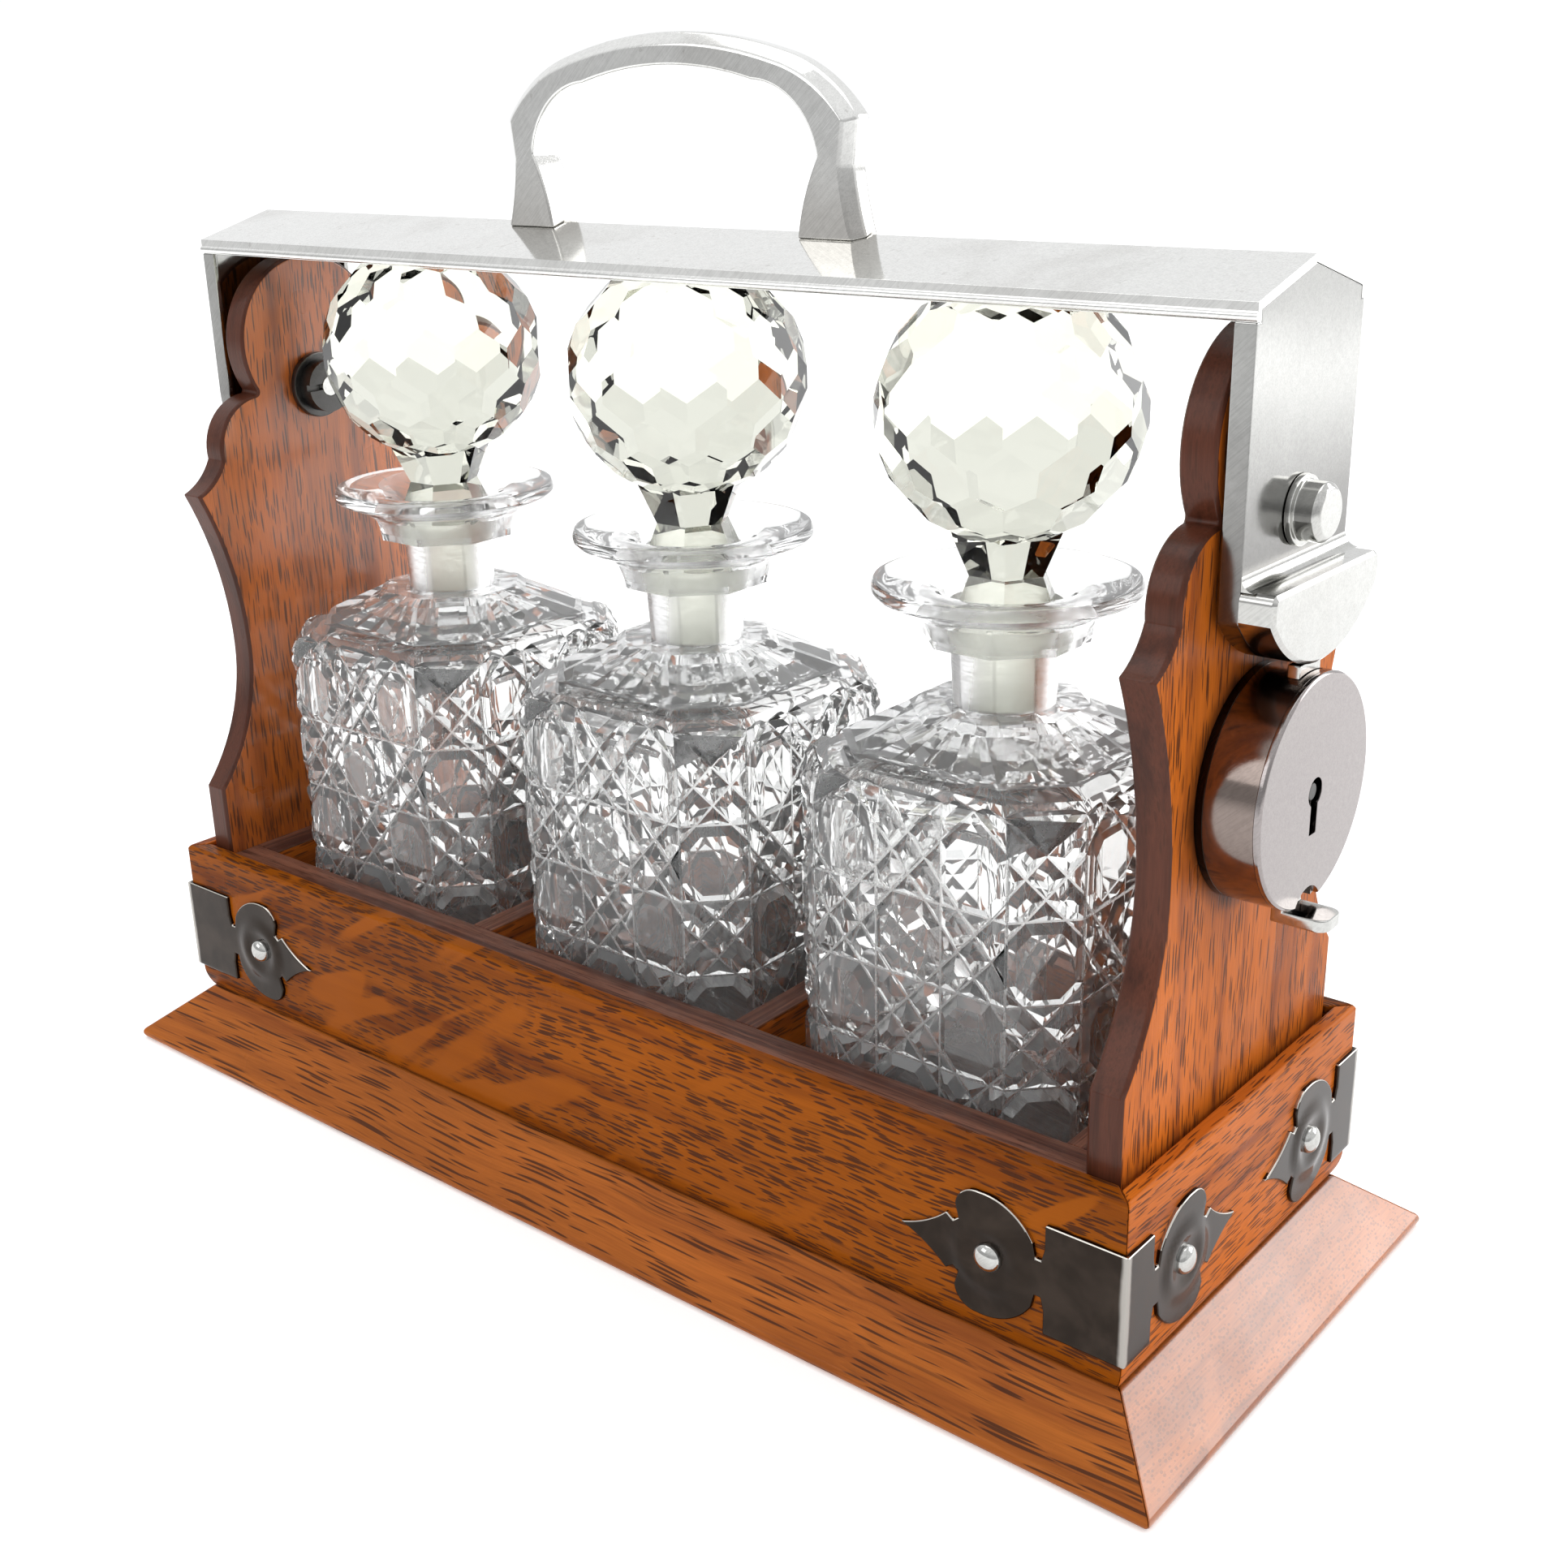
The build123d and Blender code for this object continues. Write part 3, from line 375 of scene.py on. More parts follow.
def pore_dashes(tree, along, length, gap, reach):
    """Short dark dashes along the grain, each with its own size."""
    cells = mapped(tree, along, Scale=(1 / length, 1 / gap, 1 / gap))
    inputs = {"Vector": cells, "Scale": 1.0, "Randomness": 0.9}
    dash = add(tree, "ShaderNodeTexVoronoi", inputs)
    chance = add(tree, "ShaderNodeSeparateColor", {0: dash.outputs["Color"]}).outputs[0]
    limit = maths(tree, "ADD", maths(tree, "MULTIPLY", chance, 0.16), reach - 0.10)
    inside = maths(tree, "SUBTRACT", limit, dash.outputs["Distance"])
    return maths(tree, "MULTIPLY", inside, 13.0, True)


def ray_ribbons(tree, along, amount):
    """Smooth pale ribbons that cross the grain on a slant, as in quartered oak."""
    slant = mapped(tree, along, Rotation=(0.0, RIBBON_SLANT, 0.0))
    field = noise(tree, slant, RIBBONS, 1.5, 0.4, 0.6)
    return ramp(tree, field, 0.575, 0.635, 0.0, amount)


def darker_ring_round_fitting(tree, place, height, radius, spread):
    """A darker ring round a fitting on the right upright's outer face."""
    middle = vector_maths(tree, "SUBTRACT", place, (0.0, 0.0, height))
    level = vector_maths(tree, "MULTIPLY", middle, (0.0, 1.0, 1.0))
    reach = vector_maths(tree, "LENGTH", level, result="Value")
    wander = noise(tree, place, 110.0)
    reach = maths(tree, "ADD", reach, maths(tree, "MULTIPLY", wander, spread))
    ring = ramp(tree, reach, radius + 1.6 * spread, radius + 0.3 * spread, 0.0, 0.85)
    outer = ramp(tree, parts(tree, place)[0], *OUTER_FACE)
    return maths(tree, "MULTIPLY", ring, outer)


def oak(
    name, grain, shift, palette, dash, reach, pores=1.0, flecks=0.0, level=None, halo=None,
    coat=0.2, specular=0.12,
):
    """Varnished oak: figure, dark pores in dashes, ray ribbons, painted shade low down and a darker
    ring.

    dash is the length and gap of the pores, level the heights between which the painted shade thins
    out.
    """
    material, tree, place, straight, light, dark = blank_wood(name, grain, shift, palette)
    pore_colour = bpy.context.scene.tantalus_wood.oak_pore
    along = wavered(tree, straight, 22.0, 0.004)
    figure = noise(tree, along, FIGURE, 4.0, 0.55, 0.4)
    broad = noise(tree, along, BROAD_BANDS, 2.0, 0.5, 0.4)
    fibre = noise(tree, along, FIBRES, 2.0, 0.6)
    hair = noise(tree, along, HAIRLINES, 2.0, 0.55)
    base = mixed(tree, ramp(tree, figure, 0.24, 0.56), rgba(dark), rgba(light))
    base = shaded(tree, base, ramp(tree, broad, 0.32, 0.62, 0.80, 1.06))
    base = shaded(tree, base, ramp(tree, fibre, 0.25, 0.75, 0.86, 1.08))
    pore = maths(tree, "MULTIPLY", pore_dashes(tree, along, *dash, reach), pores)
    hairline = ramp(tree, hair, 0.60, 0.68, 0.0, 0.55 * pores)
    pore = maths(tree, "MAXIMUM", pore, hairline)
    if flecks:
        ray = ray_ribbons(tree, straight, flecks)
        pore = maths(tree, "MULTIPLY", pore, maths(tree, "SUBTRACT", 1.0, ray, True))
        base = mixed(tree, maths(tree, "MULTIPLY", ray, 0.7), base, rgba(light, 1.08))
    base = mixed(tree, maths(tree, "MULTIPLY", pore, 0.86), base, rgba(pore_colour))
    # painted shade: darker towards the foot, where the piece meets the one under it
    if level:
        low = ramp(tree, parts(tree, place)[2], level[1], level[0])
        base = mixed(tree, maths(tree, "MULTIPLY", low, 0.85), base, rgba(pore_colour, 0.6))
    if halo:
        base = mixed(tree, darker_ring_round_fitting(tree, place, *halo), base, rgba(pore_colour, 0.7))
    smear = noise(tree, place, 38.0, 3.0, 0.6)
    relief = maths(tree, "SUBTRACT", maths(tree, "MULTIPLY", fibre, 0.25), pore)
    surface(tree, {
        "Base Color": base,
        "Roughness": ramp(tree, smear, 0.30, 0.70, 0.26, 0.44),
        "Specular IOR Level": specular,
        "Normal": bumped(tree, relief, 0.30, 0.00010),
        "Coat Weight": coat,
        "Coat Roughness": 0.18,
        "Coat Tint": (1.0, 0.97, 0.93, 1.0),
    })
    return material


def rosewood(name, grain, shift, palette="rosewood"):
    """Dark lining wood with fine streaks and a satin rubbed face."""
    material, tree, place, along, light, dark = blank_wood(name, grain, shift, palette)
    streak = noise(tree, along, (9.0, 330.0, 330.0), 4.0, 0.62, 0.5)
    fine = noise(tree, along, (120.0, 3000.0, 3000.0), 2.0, 0.6)
    worn = noise(tree, place, 55.0, 3.0, 0.6)
    base = mixed(tree, ramp(tree, streak, 0.36, 0.60), rgba(dark), rgba(light))
    lines = ramp(tree, fine, 0.54, 0.64, 0.0, 0.75)
    surface(tree, {
        "Base Color": mixed(tree, lines, base, rgba(dark, 0.5)),
        "Roughness": ramp(tree, worn, 0.3, 0.7, 0.30, 0.52),
        "Normal": bumped(tree, maths(tree, "SUBTRACT", 1.0, lines), 0.25, 0.0001),
        "Specular IOR Level": 0.14,
        "Coat Weight": 0.04,
        "Coat Roughness": 0.3,
    })
    return material


# ---- metals ----

# how the two sets of scratches lie, and their turns per metre
SCRATCHES = (
    ((0.5, 0.7, 0.3), (70.0, 3200.0, 3200.0)),
    ((-0.6, 0.2, 1.1), (60.0, 2600.0, 2600.0)),
)
# finish: metal and stain as settings or colours, roughness, share of stain, depth of scratches, and
# for plate painted greyer low down as painted shade and dark reflection: a node, its low (0) or
# high (1) corner, the heights over that (mm) where the painted shade starts and is full, and its
# share
METAL_LOOKS = {
    "silver_plate_worn": ("plate", "tarnish", 0.085, 0.30),
    # the handle's lower part is painted greyer as painted shade
    "handle_plate_worn": ("plate", "tarnish", 0.085, 0.30, 0.15, ("handle", 0, 36.0, 8.0, 0.7)),
    "boss_plate_worn": ("boss", "tarnish", 0.10, 0.25),
    # the straps are painted darker round the pivots as painted dark reflection and shade
    "strap_plate_worn": (
        "strap", "strap_low", 0.12, 0.08, 0.15, ("pivot_stud_right", 1, 36.0, -10.0, 0.85)
    ),
    "drum_plate_rubbed": ("cover", "tarnish", 0.11, 0.12),
    # painted reflection: the drum's wall is made dark and brown
    "drum_wall_browned": ("drum", "tarnish", 0.13, 0.15),
    # painted shadow: the lock's back plate is made near black for the shade at the drum's foot
    "lock_back_dark": ("bracket", (0.03, 0.022, 0.018), 0.10, 0.5),
    # painted highlight for the brackets' rims that look up
    "bracket_bright_edge": ((0.62, 0.59, 0.54), "tarnish", 0.14, 0.3),
    "dull_steel": ("steel", (0.05, 0.035, 0.025), 0.36, 0.6, 0.5),
    "old_brass": ("brass", (0.20, 0.11, 0.04), 0.28, 0.5, 0.4),
}


def polished_metal(name, bright, stain, rough, stain_amount, scratch=0.15, fade=None):
    """Handled metal: polish, fine rubbing, faint stains, hairline scratches, and painted shade low
    down when fade is given.
    """
    metal = bpy.context.scene.tantalus_metal
    bright, stain = [getattr(metal, c) if isinstance(c, str) else c for c in (bright, stain)]
    material, tree, place = blank_material(name)
    cloud = noise(tree, place, 30.0, 3.0, 0.6, 0.3)
    mottle = noise(tree, place, 700.0, 3.0, 0.65)
    spots = noise(tree, place, 330.0)
    hair, cross = [
        noise(tree, mapped(tree, place, Rotation=turn), scale) for turn, scale in SCRATCHES
    ]
    clouded = ramp(tree, cloud, 0.46, 0.78, 0.0, stain_amount)
    spotted = ramp(tree, spots, 0.68, 0.74, 0.0, stain_amount)
    stain_and_shade = maths(tree, "ADD", clouded, spotted, True)
    # painted shade and dark reflection: the plate turns towards the stain colour low down
    if fade:
        node, corner, start, full, amount = fade
        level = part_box(node)[corner].z
        height = maths(tree, "ADD", parts(tree, place)[2], maths(tree, "MULTIPLY", cloud, 0.02))
        low = ramp(tree, height, level + start * MM, level + full * MM, 0.0, amount)
        stain_and_shade = maths(tree, "MAXIMUM", stain_and_shade, low)
    base = mixed(tree, stain_and_shade, rgba(bright), rgba(stain))
    rubbed = ramp(tree, mottle, 0.32, 0.68, 0.93, 1.0)
    rubbed = maths(tree, "MULTIPLY", rubbed, ramp(tree, hair, 0.30, 0.62, 0.88, 1.0))
    fine, coarse = ramp(tree, hair, 0.60, 0.70), ramp(tree, cross, 0.62, 0.72)
    scratches = maths(tree, "MAXIMUM", fine, coarse)
    relief = maths(tree, "ADD", scratches, maths(tree, "MULTIPLY", mottle, 0.8))
    surface(tree, {
        "Base Color": shaded(tree, base, rubbed),
        "Metallic": 1.0,
        "Roughness": ramp(tree, cloud, 0.30, 0.72, rough * 0.7, rough * 1.5),
        "Normal": bumped(tree, relief, scratch, 0.000012),
    })
    return material


def metal_look(name):
    """One of the metal finishes, made once."""
    return bpy.data.materials.get(name) or polished_metal(name, *METAL_LOOKS[name])


def bracket_look():
    """Near-black plate with paler rubbing, bright along the bent corner."""
    metal = bpy.context.scene.tantalus_metal
    low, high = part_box("bracket_front_right")
    corner = high.x - low.y
    material, tree, place = blank_material("bracket_dark_plate")
    cloud = noise(tree, place, 75.0, 3.0, 0.6, 0.3)
    grit = noise(tree, place, 900.0, 2.0, 0.6)
    rubbed = ramp(tree, cloud, 0.40, 0.72, 0.0, 0.8)
    base = mixed(tree, rubbed, rgba(metal.bracket, 0.8), rgba(metal.bracket, 1.5))
    right, back, _ = parts(tree, vector_maths(tree, "ABSOLUTE", place))
    spread = maths(tree, "ADD", right, back)
    spread = maths(tree, "ADD", spread, maths(tree, "MULTIPLY", cloud, 1.2 * MM))
    bend = ramp(tree, spread, corner - 1.3 * MM, corner - 0.2 * MM)
    surface(tree, {
        "Base Color": mixed(tree, bend, base, rgba(metal.tarnish, 0.9)),
        "Metallic": 1.0,
        "Roughness": ramp(tree, cloud, 0.3, 0.7, 0.09, 0.22),
        "Normal": bumped(tree, grit, 0.2, 0.00002),
        "Coat Weight": 0.05,
        "Coat Roughness": 0.06,
    })
    return material


# ---- glass ----

LEAD_GLASS_IOR = 1.54
# brightness, grit (scale, detail, roughness), its smooth and rough ends, clearness, relief
GROUND_GRIT = (0.97, ((300.0, 300.0, 2600.0), 3.0, 0.6), 0.30, 0.55, 1.0, 0.3)
GROOVE_GRIT = (1.0, (900.0, 2.0, 0.6), 0.22, 0.40, 0.80, 0.25)


def lead_glass(tree, tint, rough, clear, relief):
    """The surface of lead glass; relief is a height, how strongly it shows and its depth."""
    surface(tree, {
        "Base Color": tint,
        "Roughness": rough,
        "IOR": LEAD_GLASS_IOR,
        "Transmission Weight": clear,
        "Normal": bumped(tree, *relief),
    })


def clear_glass(name, tint, haze=0.0):
    """Glass with a trace of dust and unevenness."""
    material, tree, place = blank_material(name)
    dust = ramp(tree, noise(tree, place, 160.0, 3.0, 0.6), 0.55, 0.80, 0.0, 0.035)
    wave = noise(tree, place, 60.0, 1.0)
    lead_glass(tree, rgba(tint), dust, 1.0 - haze, (wave, 0.10, 0.0002))
    return material


def gritty_glass(name, tint, brightness, grit, smooth, rough, clear, relief):
    """The grey bottoms of the cuts, or the ground faces of a plug and its seat."""
    material, tree, place = blank_material(name)
    grain = noise(tree, place, *grit)
    rough = ramp(tree, grain, 0.3, 0.7, smooth, rough)
    lead_glass(tree, rgba(tint, brightness), rough, clear, (grain, relief, 0.00005))
    return material


# ---- woodwork ----

# heights over which the painted shade at the plinth's foot thins out
JOINT_SHADE_LEVEL = (0.0172, 0.0192)
OUTER_FACE = (0.154, 0.157)
# least angles of the edges that are rounded, in degrees
SHARP_BOARD = 28.0
SHARP_WOOD = 30.0
OAK_LOOKS = {
    "skirt": dict(palette="skirt", dash=(0.030, 0.0010), reach=0.37, coat=0.05, specular=0.07),
    "skirt_end": dict(
        palette="skirt", dash=(0.0014, 0.0009), reach=0.40, pores=0.45, flecks=0.6, coat=1.0,
        specular=0.5,
    ),
    "plinth": dict(
        palette="plinth", dash=(0.0085, 0.0009), reach=0.46, flecks=1.0, level=JOINT_SHADE_LEVEL,
        coat=0.02, specular=0.04,
    ),
    "plinth_end": dict(
        palette="end", dash=(0.0090, 0.0007), reach=0.42, pores=0.9, flecks=0.3,
        level=JOINT_SHADE_LEVEL, coat=0.05, specular=0.05,
    ),
    "base": dict(palette="skirt", dash=(0.0060, 0.0012), reach=0.38, pores=0.8, coat=0.0),
    "upright": dict(palette="end", dash=(0.012, 0.0008), reach=0.40, pores=0.95, flecks=0.25),
    "upright_edge": dict(palette="edge", dash=(0.014, 0.0009), reach=0.36, pores=0.5),
    "lining": dict(palette="end", dash=(0.009, 0.0009), reach=0.40, pores=0.8),
}
# node, grain, where the pattern starts, oak look
OAK_PIECES = (
    ("skirt_front", "X", (0.0, 0.0, 0.0), "skirt"),
    ("skirt_back", "X", (0.7, 0.2, 0.1), "skirt"),
    ("skirt_left", "Y", (0.3, 0.5, 0.2), "skirt_end"),
    ("skirt_right", "Y", (0.9, 0.1, 0.6), "skirt_end"),
    ("plinth_front", "X", (0.2, 0.4, 0.8), "plinth"),
    ("plinth_back", "X", (0.5, 0.9, 0.3), "plinth"),
    ("plinth_left", "Y", (0.8, 0.6, 0.4), "plinth_end"),
    ("plinth_right", "Y", (0.1, 0.7, 0.9), "plinth_end"),
    ("base_board", "X", (0.4, 0.3, 0.5), "base"),
)
# node, where the pattern starts, darker ring round the lock (height, radius, spread), coat,
# specular
UPRIGHTS = (
    ("upright_left", (0.33, 0.71, 0.12), None, 1.0, 0.5),
    ("upright_right", (0.61, 0.27, 0.55), (0.140, 0.0258, 0.0050), 0.05, 0.05),
)
# height over which the painted shade at an upright's foot thins out, in mm
SHADE_RISE = 4.0
LININGS = (
    ("liner_front", "X"),
    ("liner_back", "X"),
    ("liner_left", "Y"),
    ("liner_right", "Y"),
    ("divider_left", "Y"),
    ("divider_right", "Y"),
    ("deck", "X"),
)


class TANTALUS_OT_stand(bpy.types.Operator):
    """Gives the skirt, plinth and base their worn edges and oak"""

    bl_idname = "tantalus.stand"
    bl_label = "Stand"

    def execute(self, context):
        wood = context.scene.tantalus_wood
        for node, grain, shift, look in OAK_PIECES:
            bm = merged_copy(node)
            round_edges(bm, sharp_edges(bm, SHARP_BOARD), wood.arris)
            board = oak(node + "_oak", grain, shift, **OAK_LOOKS[look])
            finished(bm, node, "board", [board])
        return {"FINISHED"}


class TANTALUS_OT_uprights(bpy.types.Operator):
    """Makes the two shaped uprights with their darker worn edges"""

    bl_idname = "tantalus.uprights"
    bl_label = "Uprights"

    def execute(self, context):
        wood = context.scene.tantalus_wood
        for node, shift, halo, coat, specular in UPRIGHTS:
            bm = merged_copy(node)
            round_edges(bm, sharp_edges(bm, SHARP_WOOD), wood.arris * 0.5)
            for face in bm.faces:
                face.material_index = 0 if abs(face.normal.x) > 0.9 else 1
            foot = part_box(node)[0].z
            own = {"level": (foot, foot + SHADE_RISE * MM), "halo": halo}
            own.update(coat=coat, specular=specular, **OAK_LOOKS["upright"])
            face_look = oak(node + "_oak", "Z", shift, **own)
            edge_look = oak(node + "_edge_oak", "Z", shift, **OAK_LOOKS["upright_edge"])
            finished(bm, node, "board", [face_look, edge_look])
        return {"FINISHED"}


class TANTALUS_OT_lining(bpy.types.Operator):
    """Makes the dark lining strips, the dividers and the floor of the compartments"""

    bl_idname = "tantalus.lining"
    bl_label = "Lining"

    def execute(self, context):
        wood = context.scene.tantalus_wood
        for index, (node, grain) in enumerate(LININGS):
            bm = merged_copy(node)
            round_edges(bm, sharp_edges(bm, SHARP_WOOD), wood.arris * 0.7)
            shift = (0.31 * index, 0.17 * index, 0.23 * index)
            if node == "deck":
                # painted light: the deck's rosewood is paler than the lining's
                top = side = rosewood(node + "_bare", grain, shift, "deck")
            else:
                top = rosewood(node + "_rosewood", grain, shift)
                side = oak(node + "_side_oak", grain, shift, **OAK_LOOKS["lining"])
            for face in bm.faces:
                face.material_index = 0 if face.normal.z > 0.3 else 1
            finished(bm, node, "strip", [top, side])
        return {"FINISHED"}


# ---- metalwork ----

SHARP_METAL = 30.0
# finish, share of the softened edge, segments in it, nodes
METAL_PIECES = (
    ("silver_plate_worn", 1.0, 2, ("carrying_bar",)),
    ("strap_plate_worn", 1.0, 2, ("strap_left", "strap_right")),
    ("boss_plate_worn", 1.0, 2, ("hasp_boss",)),
    ("handle_plate_worn", 1.6, 3, ("handle",)),
    ("dull_steel", 0.5, 1, ("handle_screws",)),
    ("boss_plate_worn", 0.8, 2, ("pivot_stud_left", "pivot_stud_right")),
    ("silver_plate_worn", 0.5, 1, ("pivot_collar_left", "pivot_collar_right")),
    ("dull_steel", 1.2, 2, ("pivot_washer_left", "pivot_washer_right")),
    ("dull_steel", 0.9, 2, ("pivot_nut_left", "pivot_nut_right")),
    ("drum_wall_browned", 0.4, 1, ("lock_case",)),
    ("drum_plate_rubbed", 0.4, 2, ("lock_cover",)),
    ("boss_plate_worn", 1.2, 2, ("lock_bolt",)),
    ("lock_back_dark", 0.4, 1, ("lock_back_plate",)),
    ("old_brass", 0.3, 1, ("lock_tumbler",)),
    ("dull_steel", 0.8, 2, ("drill_pin",)),
    ("dull_steel", 0.4, 1, ("tumbler_pin", "lock_screws")),
    ("dull_steel", 0.2, 1, ("tumbler_spring",)),
)


class TANTALUS_OT_metalwork(bpy.types.Operator):
    """Softens the edges of the plated and steel pieces and polishes them"""

    bl_idname = "tantalus.metalwork"
    bl_label = "Metalwork"

    def execute(self, context):
        metal = context.scene.tantalus_metal
        for finish, part, segments, nodes in METAL_PIECES:
            for node in nodes:
                bm = merged_copy(node)
                round_edges(bm, sharp_edges(bm, SHARP_METAL), metal.edge * part, segments)
                finished(bm, node, "metal", [metal_look(finish)])
        return {"FINISHED"}


BRACKETS = (
    "bracket_front_left", "bracket_front_right", "bracket_back_left", "bracket_back_right"
)
# least area of a bracket's faces, as against its edges, and how near one level is, in metres
PLATE_FACE = 60e-6
SAME_LEVEL = 1e-6
# rim, the pressed ring round a nail (inside, outside, height), its grid, and how near a nail
# lies to its own plate and to the plate's middle, in mm
RIM = 0.8
EAR_HUB = 3.6
EAR_REACH = 11.0
EAR_RISE = 0.55
EAR_STEP = 1.3
NAIL_DEPTH = 2.5
NAIL_RANGE = 28.6
# degrees between the rings of a nail head, and its sides
DOME_STEP = 10
DOME_SIDES = 28


def islands(bm):
    """The separate shells of a mesh, as copies of their points, in the order of the mesh."""
    seen, found = set(), []
    for first in bm.verts:
        if first in seen:
            continue
        seen.add(first)
        shell = [first]
        for vert in shell:
            for edge in vert.link_edges:
                other = edge.other_vert(vert)
                if other not in seen:
                    seen.add(other)
                    shell.append(other)
        found.append([vert.co.copy() for vert in shell])
    return found


def add_dome(bm, shell):
    """A smooth domed nail head in place of a coarse one."""
    low, high = corners(shell)
    span = high - low
    axis = min(range(3), key=lambda i: span[i])
    out = Vector()
    out[axis] = 1.0 if low[axis] + high[axis] > 0 else -1.0
    rise, radius = out * span[axis], Vector((0.0, 0.0, span.z / 2))
    foot = (low + high) / 2 - rise / 2
    arc = [math.radians(angle) for angle in range(0, 91, DOME_STEP)]
    profile = [foot] + [foot + radius * math.cos(t) + rise * math.sin(t) for t in arc]
    spun(bm, profile, foot, out, DOME_SIDES)


def press_ears(bm, faces, eyes):
    """Swells a bracket's outer faces in a ring round each nail, as pressed plate is."""
    for face in faces:
        axis = max(range(3), key=lambda i: abs(face.normal[i]))
        level, out = face.calc_center_median()[axis], Vector(face.normal)
        middle = face.calc_center_bounds()
        near = [eye for eye in eyes if abs(eye[axis] - level) < NAIL_DEPTH * MM]
        near = [eye for eye in near if (eye - middle).length < NAIL_RANGE * MM]
        low, high = corners([vert.co for vert in face.verts])
        across = 1 - axis
        for way in (across, 2):
            normal = Vector([float(i == way) for i in range(3)])
            steps = int((high[way] - low[way]) / (EAR_STEP * MM))
            for step in range(1, steps + 1):
                plate = [f for f in bm.faces if f.normal.dot(out) > 0.99]
                plate = [
                    f for f in plate if abs(f.calc_center_median()[axis] - level) < SAME_LEVEL
                ]
                split_faces(bm, plate, normal * (low[way] + step * EAR_STEP * MM), normal)
        for vert in bm.verts:
            within = low[across] - SAME_LEVEL < vert.co[across] < high[across] + SAME_LEVEL
            if abs(vert.co[axis] - level) >= SAME_LEVEL or not within:
                continue
            if any(abs(f.normal.dot(out)) < 0.99 for f in vert.link_faces):
                continue
            offsets = [vert.co - eye for eye in near]
            gap = min((offset - out * offset.dot(out)).length for offset in offsets)
            part = (gap / MM - EAR_HUB) / (EAR_REACH - EAR_HUB)
            if 0.0 < part < 1.0:
                vert.co += out * EAR_RISE * MM * math.sin(math.pi * part) ** 2


class TANTALUS_OT_brackets(bpy.types.Operator):
    """Makes the dark corner brackets, rounded at the rim with a painted highlight on the rims that
    look up, and their domed nails
    """

    bl_idname = "tantalus.brackets"
    bl_label = "Corner brackets"

    def execute(self, context):
        looks = [bracket_look(), metal_look("bracket_bright_edge")]
        packed = merged_copy("bracket_studs")
        shells = islands(packed)
        packed.free()
        eyes = [sum(shell, Vector()) / len(shell) for shell in shells]
        for node in BRACKETS:
            bm = merged_copy(node)
            plate = [f for f in bm.faces if f.calc_area() > PLATE_FACE]
            inner = [f for f in plate if f.calc_center_median().dot(f.normal) < 0]
            edges = sharp_edges(bm, 35.0)
            rim = [e for e in edges if not any(f in inner for f in e.link_faces)]
            round_edges(bm, rim, RIM * MM, 4)
            bm.normal_update()
            front = [f for f in bm.faces if f.calc_area() > PLATE_FACE and f not in inner]
            # painted highlight: the small rim faces that look up take the bright plate
            for face in bm.faces:
                painted_highlight_rim = face.calc_area() < PLATE_FACE and 0.35 < face.normal.z < 0.93
                face.material_index = 1 if painted_highlight_rim else 0
            press_ears(bm, front, eyes)
            finished(bm, node, "metal", looks)
        domes = bmesh.new()
        for shell in shells:
            add_dome(domes, shell)
        bmesh.ops.remove_doubles(domes, verts=domes.verts, dist=0.002 * MM)
        bmesh.ops.recalc_face_normals(domes, faces=domes.faces)
        plate = [metal_look("boss_plate_worn")]
        finished(domes, "bracket_studs", "metal", plate, 50.0, False)
        return {"FINISHED"}


# ---- decanters: one unwrapped sheet (mm), cut, then wrapped round the bottle ----

ACROSS = Vector((1, 0, 0))
UPRIGHT = Vector((0, 1, 0))
COLUMN = 18.0
COLUMNS = 16
ROW = 20.5
ROWS = 5
FIRST_LEVEL = 8.0
SLANT_GAP = 5.125
BODY_HALF = 40.0
BODY_CORNER = 13.0
GRIP_COLUMNS = 12
PATTERN_FOOT = 1.5
PATTERN_TOP = 116.0
FLUTE = (122.0, 132.0)
FLUTE_STEP = 12.0
SHOULDER_LINES = (118.2, 120.4)
SHOULDER_CUT = (0.8, 0.7)
# height, half width, depth
TOP_LINE = (108.8, 1.3, 0.8)
# half width, depth, from, to
STAR = (8.9, 1.4, -40.0, -12.0)
# where the star's cuts end at its rim and its hub, and how long they take to fade there
STAR_FADE = ((-10.0, 6.0), (-40.0, 8.0))
SLANT_MARGIN = 4.0
SAME_PLANE = 0.4
BODY_TOP = 113.0
SHOULDER_FOOT = 115.0
SHOULDER_RUN = 17.0
# share of a shoulder cut's depth that goes in and down, and of it lost towards the neck
SHOULDER_IN = 0.48
SHOULDER_DOWN = 0.87
SHOULDER_LOSS = 0.7
# depth under the lip where a stopper's ground part starts
PLUG_TOP = 6.0
# material slots of a bottle
CLEAR, GROUND, GROOVE, WORN = range(4)


def square_ring(half, corner):
    """The eight corner points of a square with cut corners, from the front left, anticlockwise."""
    near = half - corner
    ring = [Vector((-near, -half)), Vector((near, -half))]
    while len(ring) < 8:
        ring.append(Vector((-ring[-2].y, ring[-2].x)))
    return ring


def octagon(flat):
    """The eight corners of a regular octagon by its half width across flats."""
    return square_ring(flat, flat * (2 - math.sqrt(2)))


def side_of(x):
    """Which of the eight sides an unwrapped x falls on, and how far along it."""
    turn, rest = divmod(x / COLUMN, 4.0)
    if rest <= 3.0:
        return int(turn) * 2 % 8, rest / 3.0
    return (int(turn) * 2 + 1) % 8, rest - 3.0


def ring_point(ring, side, share):
    """A point on a side of a ring: eight corners, a radius, or both and the share of round."""
    if isinstance(ring, tuple):
        straight, radius, ease = ring
        return ring_point(straight, side, share).lerp(ring_point(radius, side, share), ease)
    if isinstance(ring, float):
        angle = -math.pi / 2 + (side + share - 0.5) * math.pi / 4
        return Vector((math.cos(angle), math.sin(angle))) * ring
    return ring[side].lerp(ring[(side + 1) % 8], share)


def rounded_ring(half, corner, radius, share):
    """A cut-cornered ring eased towards a circle, for ring_point to blend."""
    return (square_ring(half, corner), radius, share)


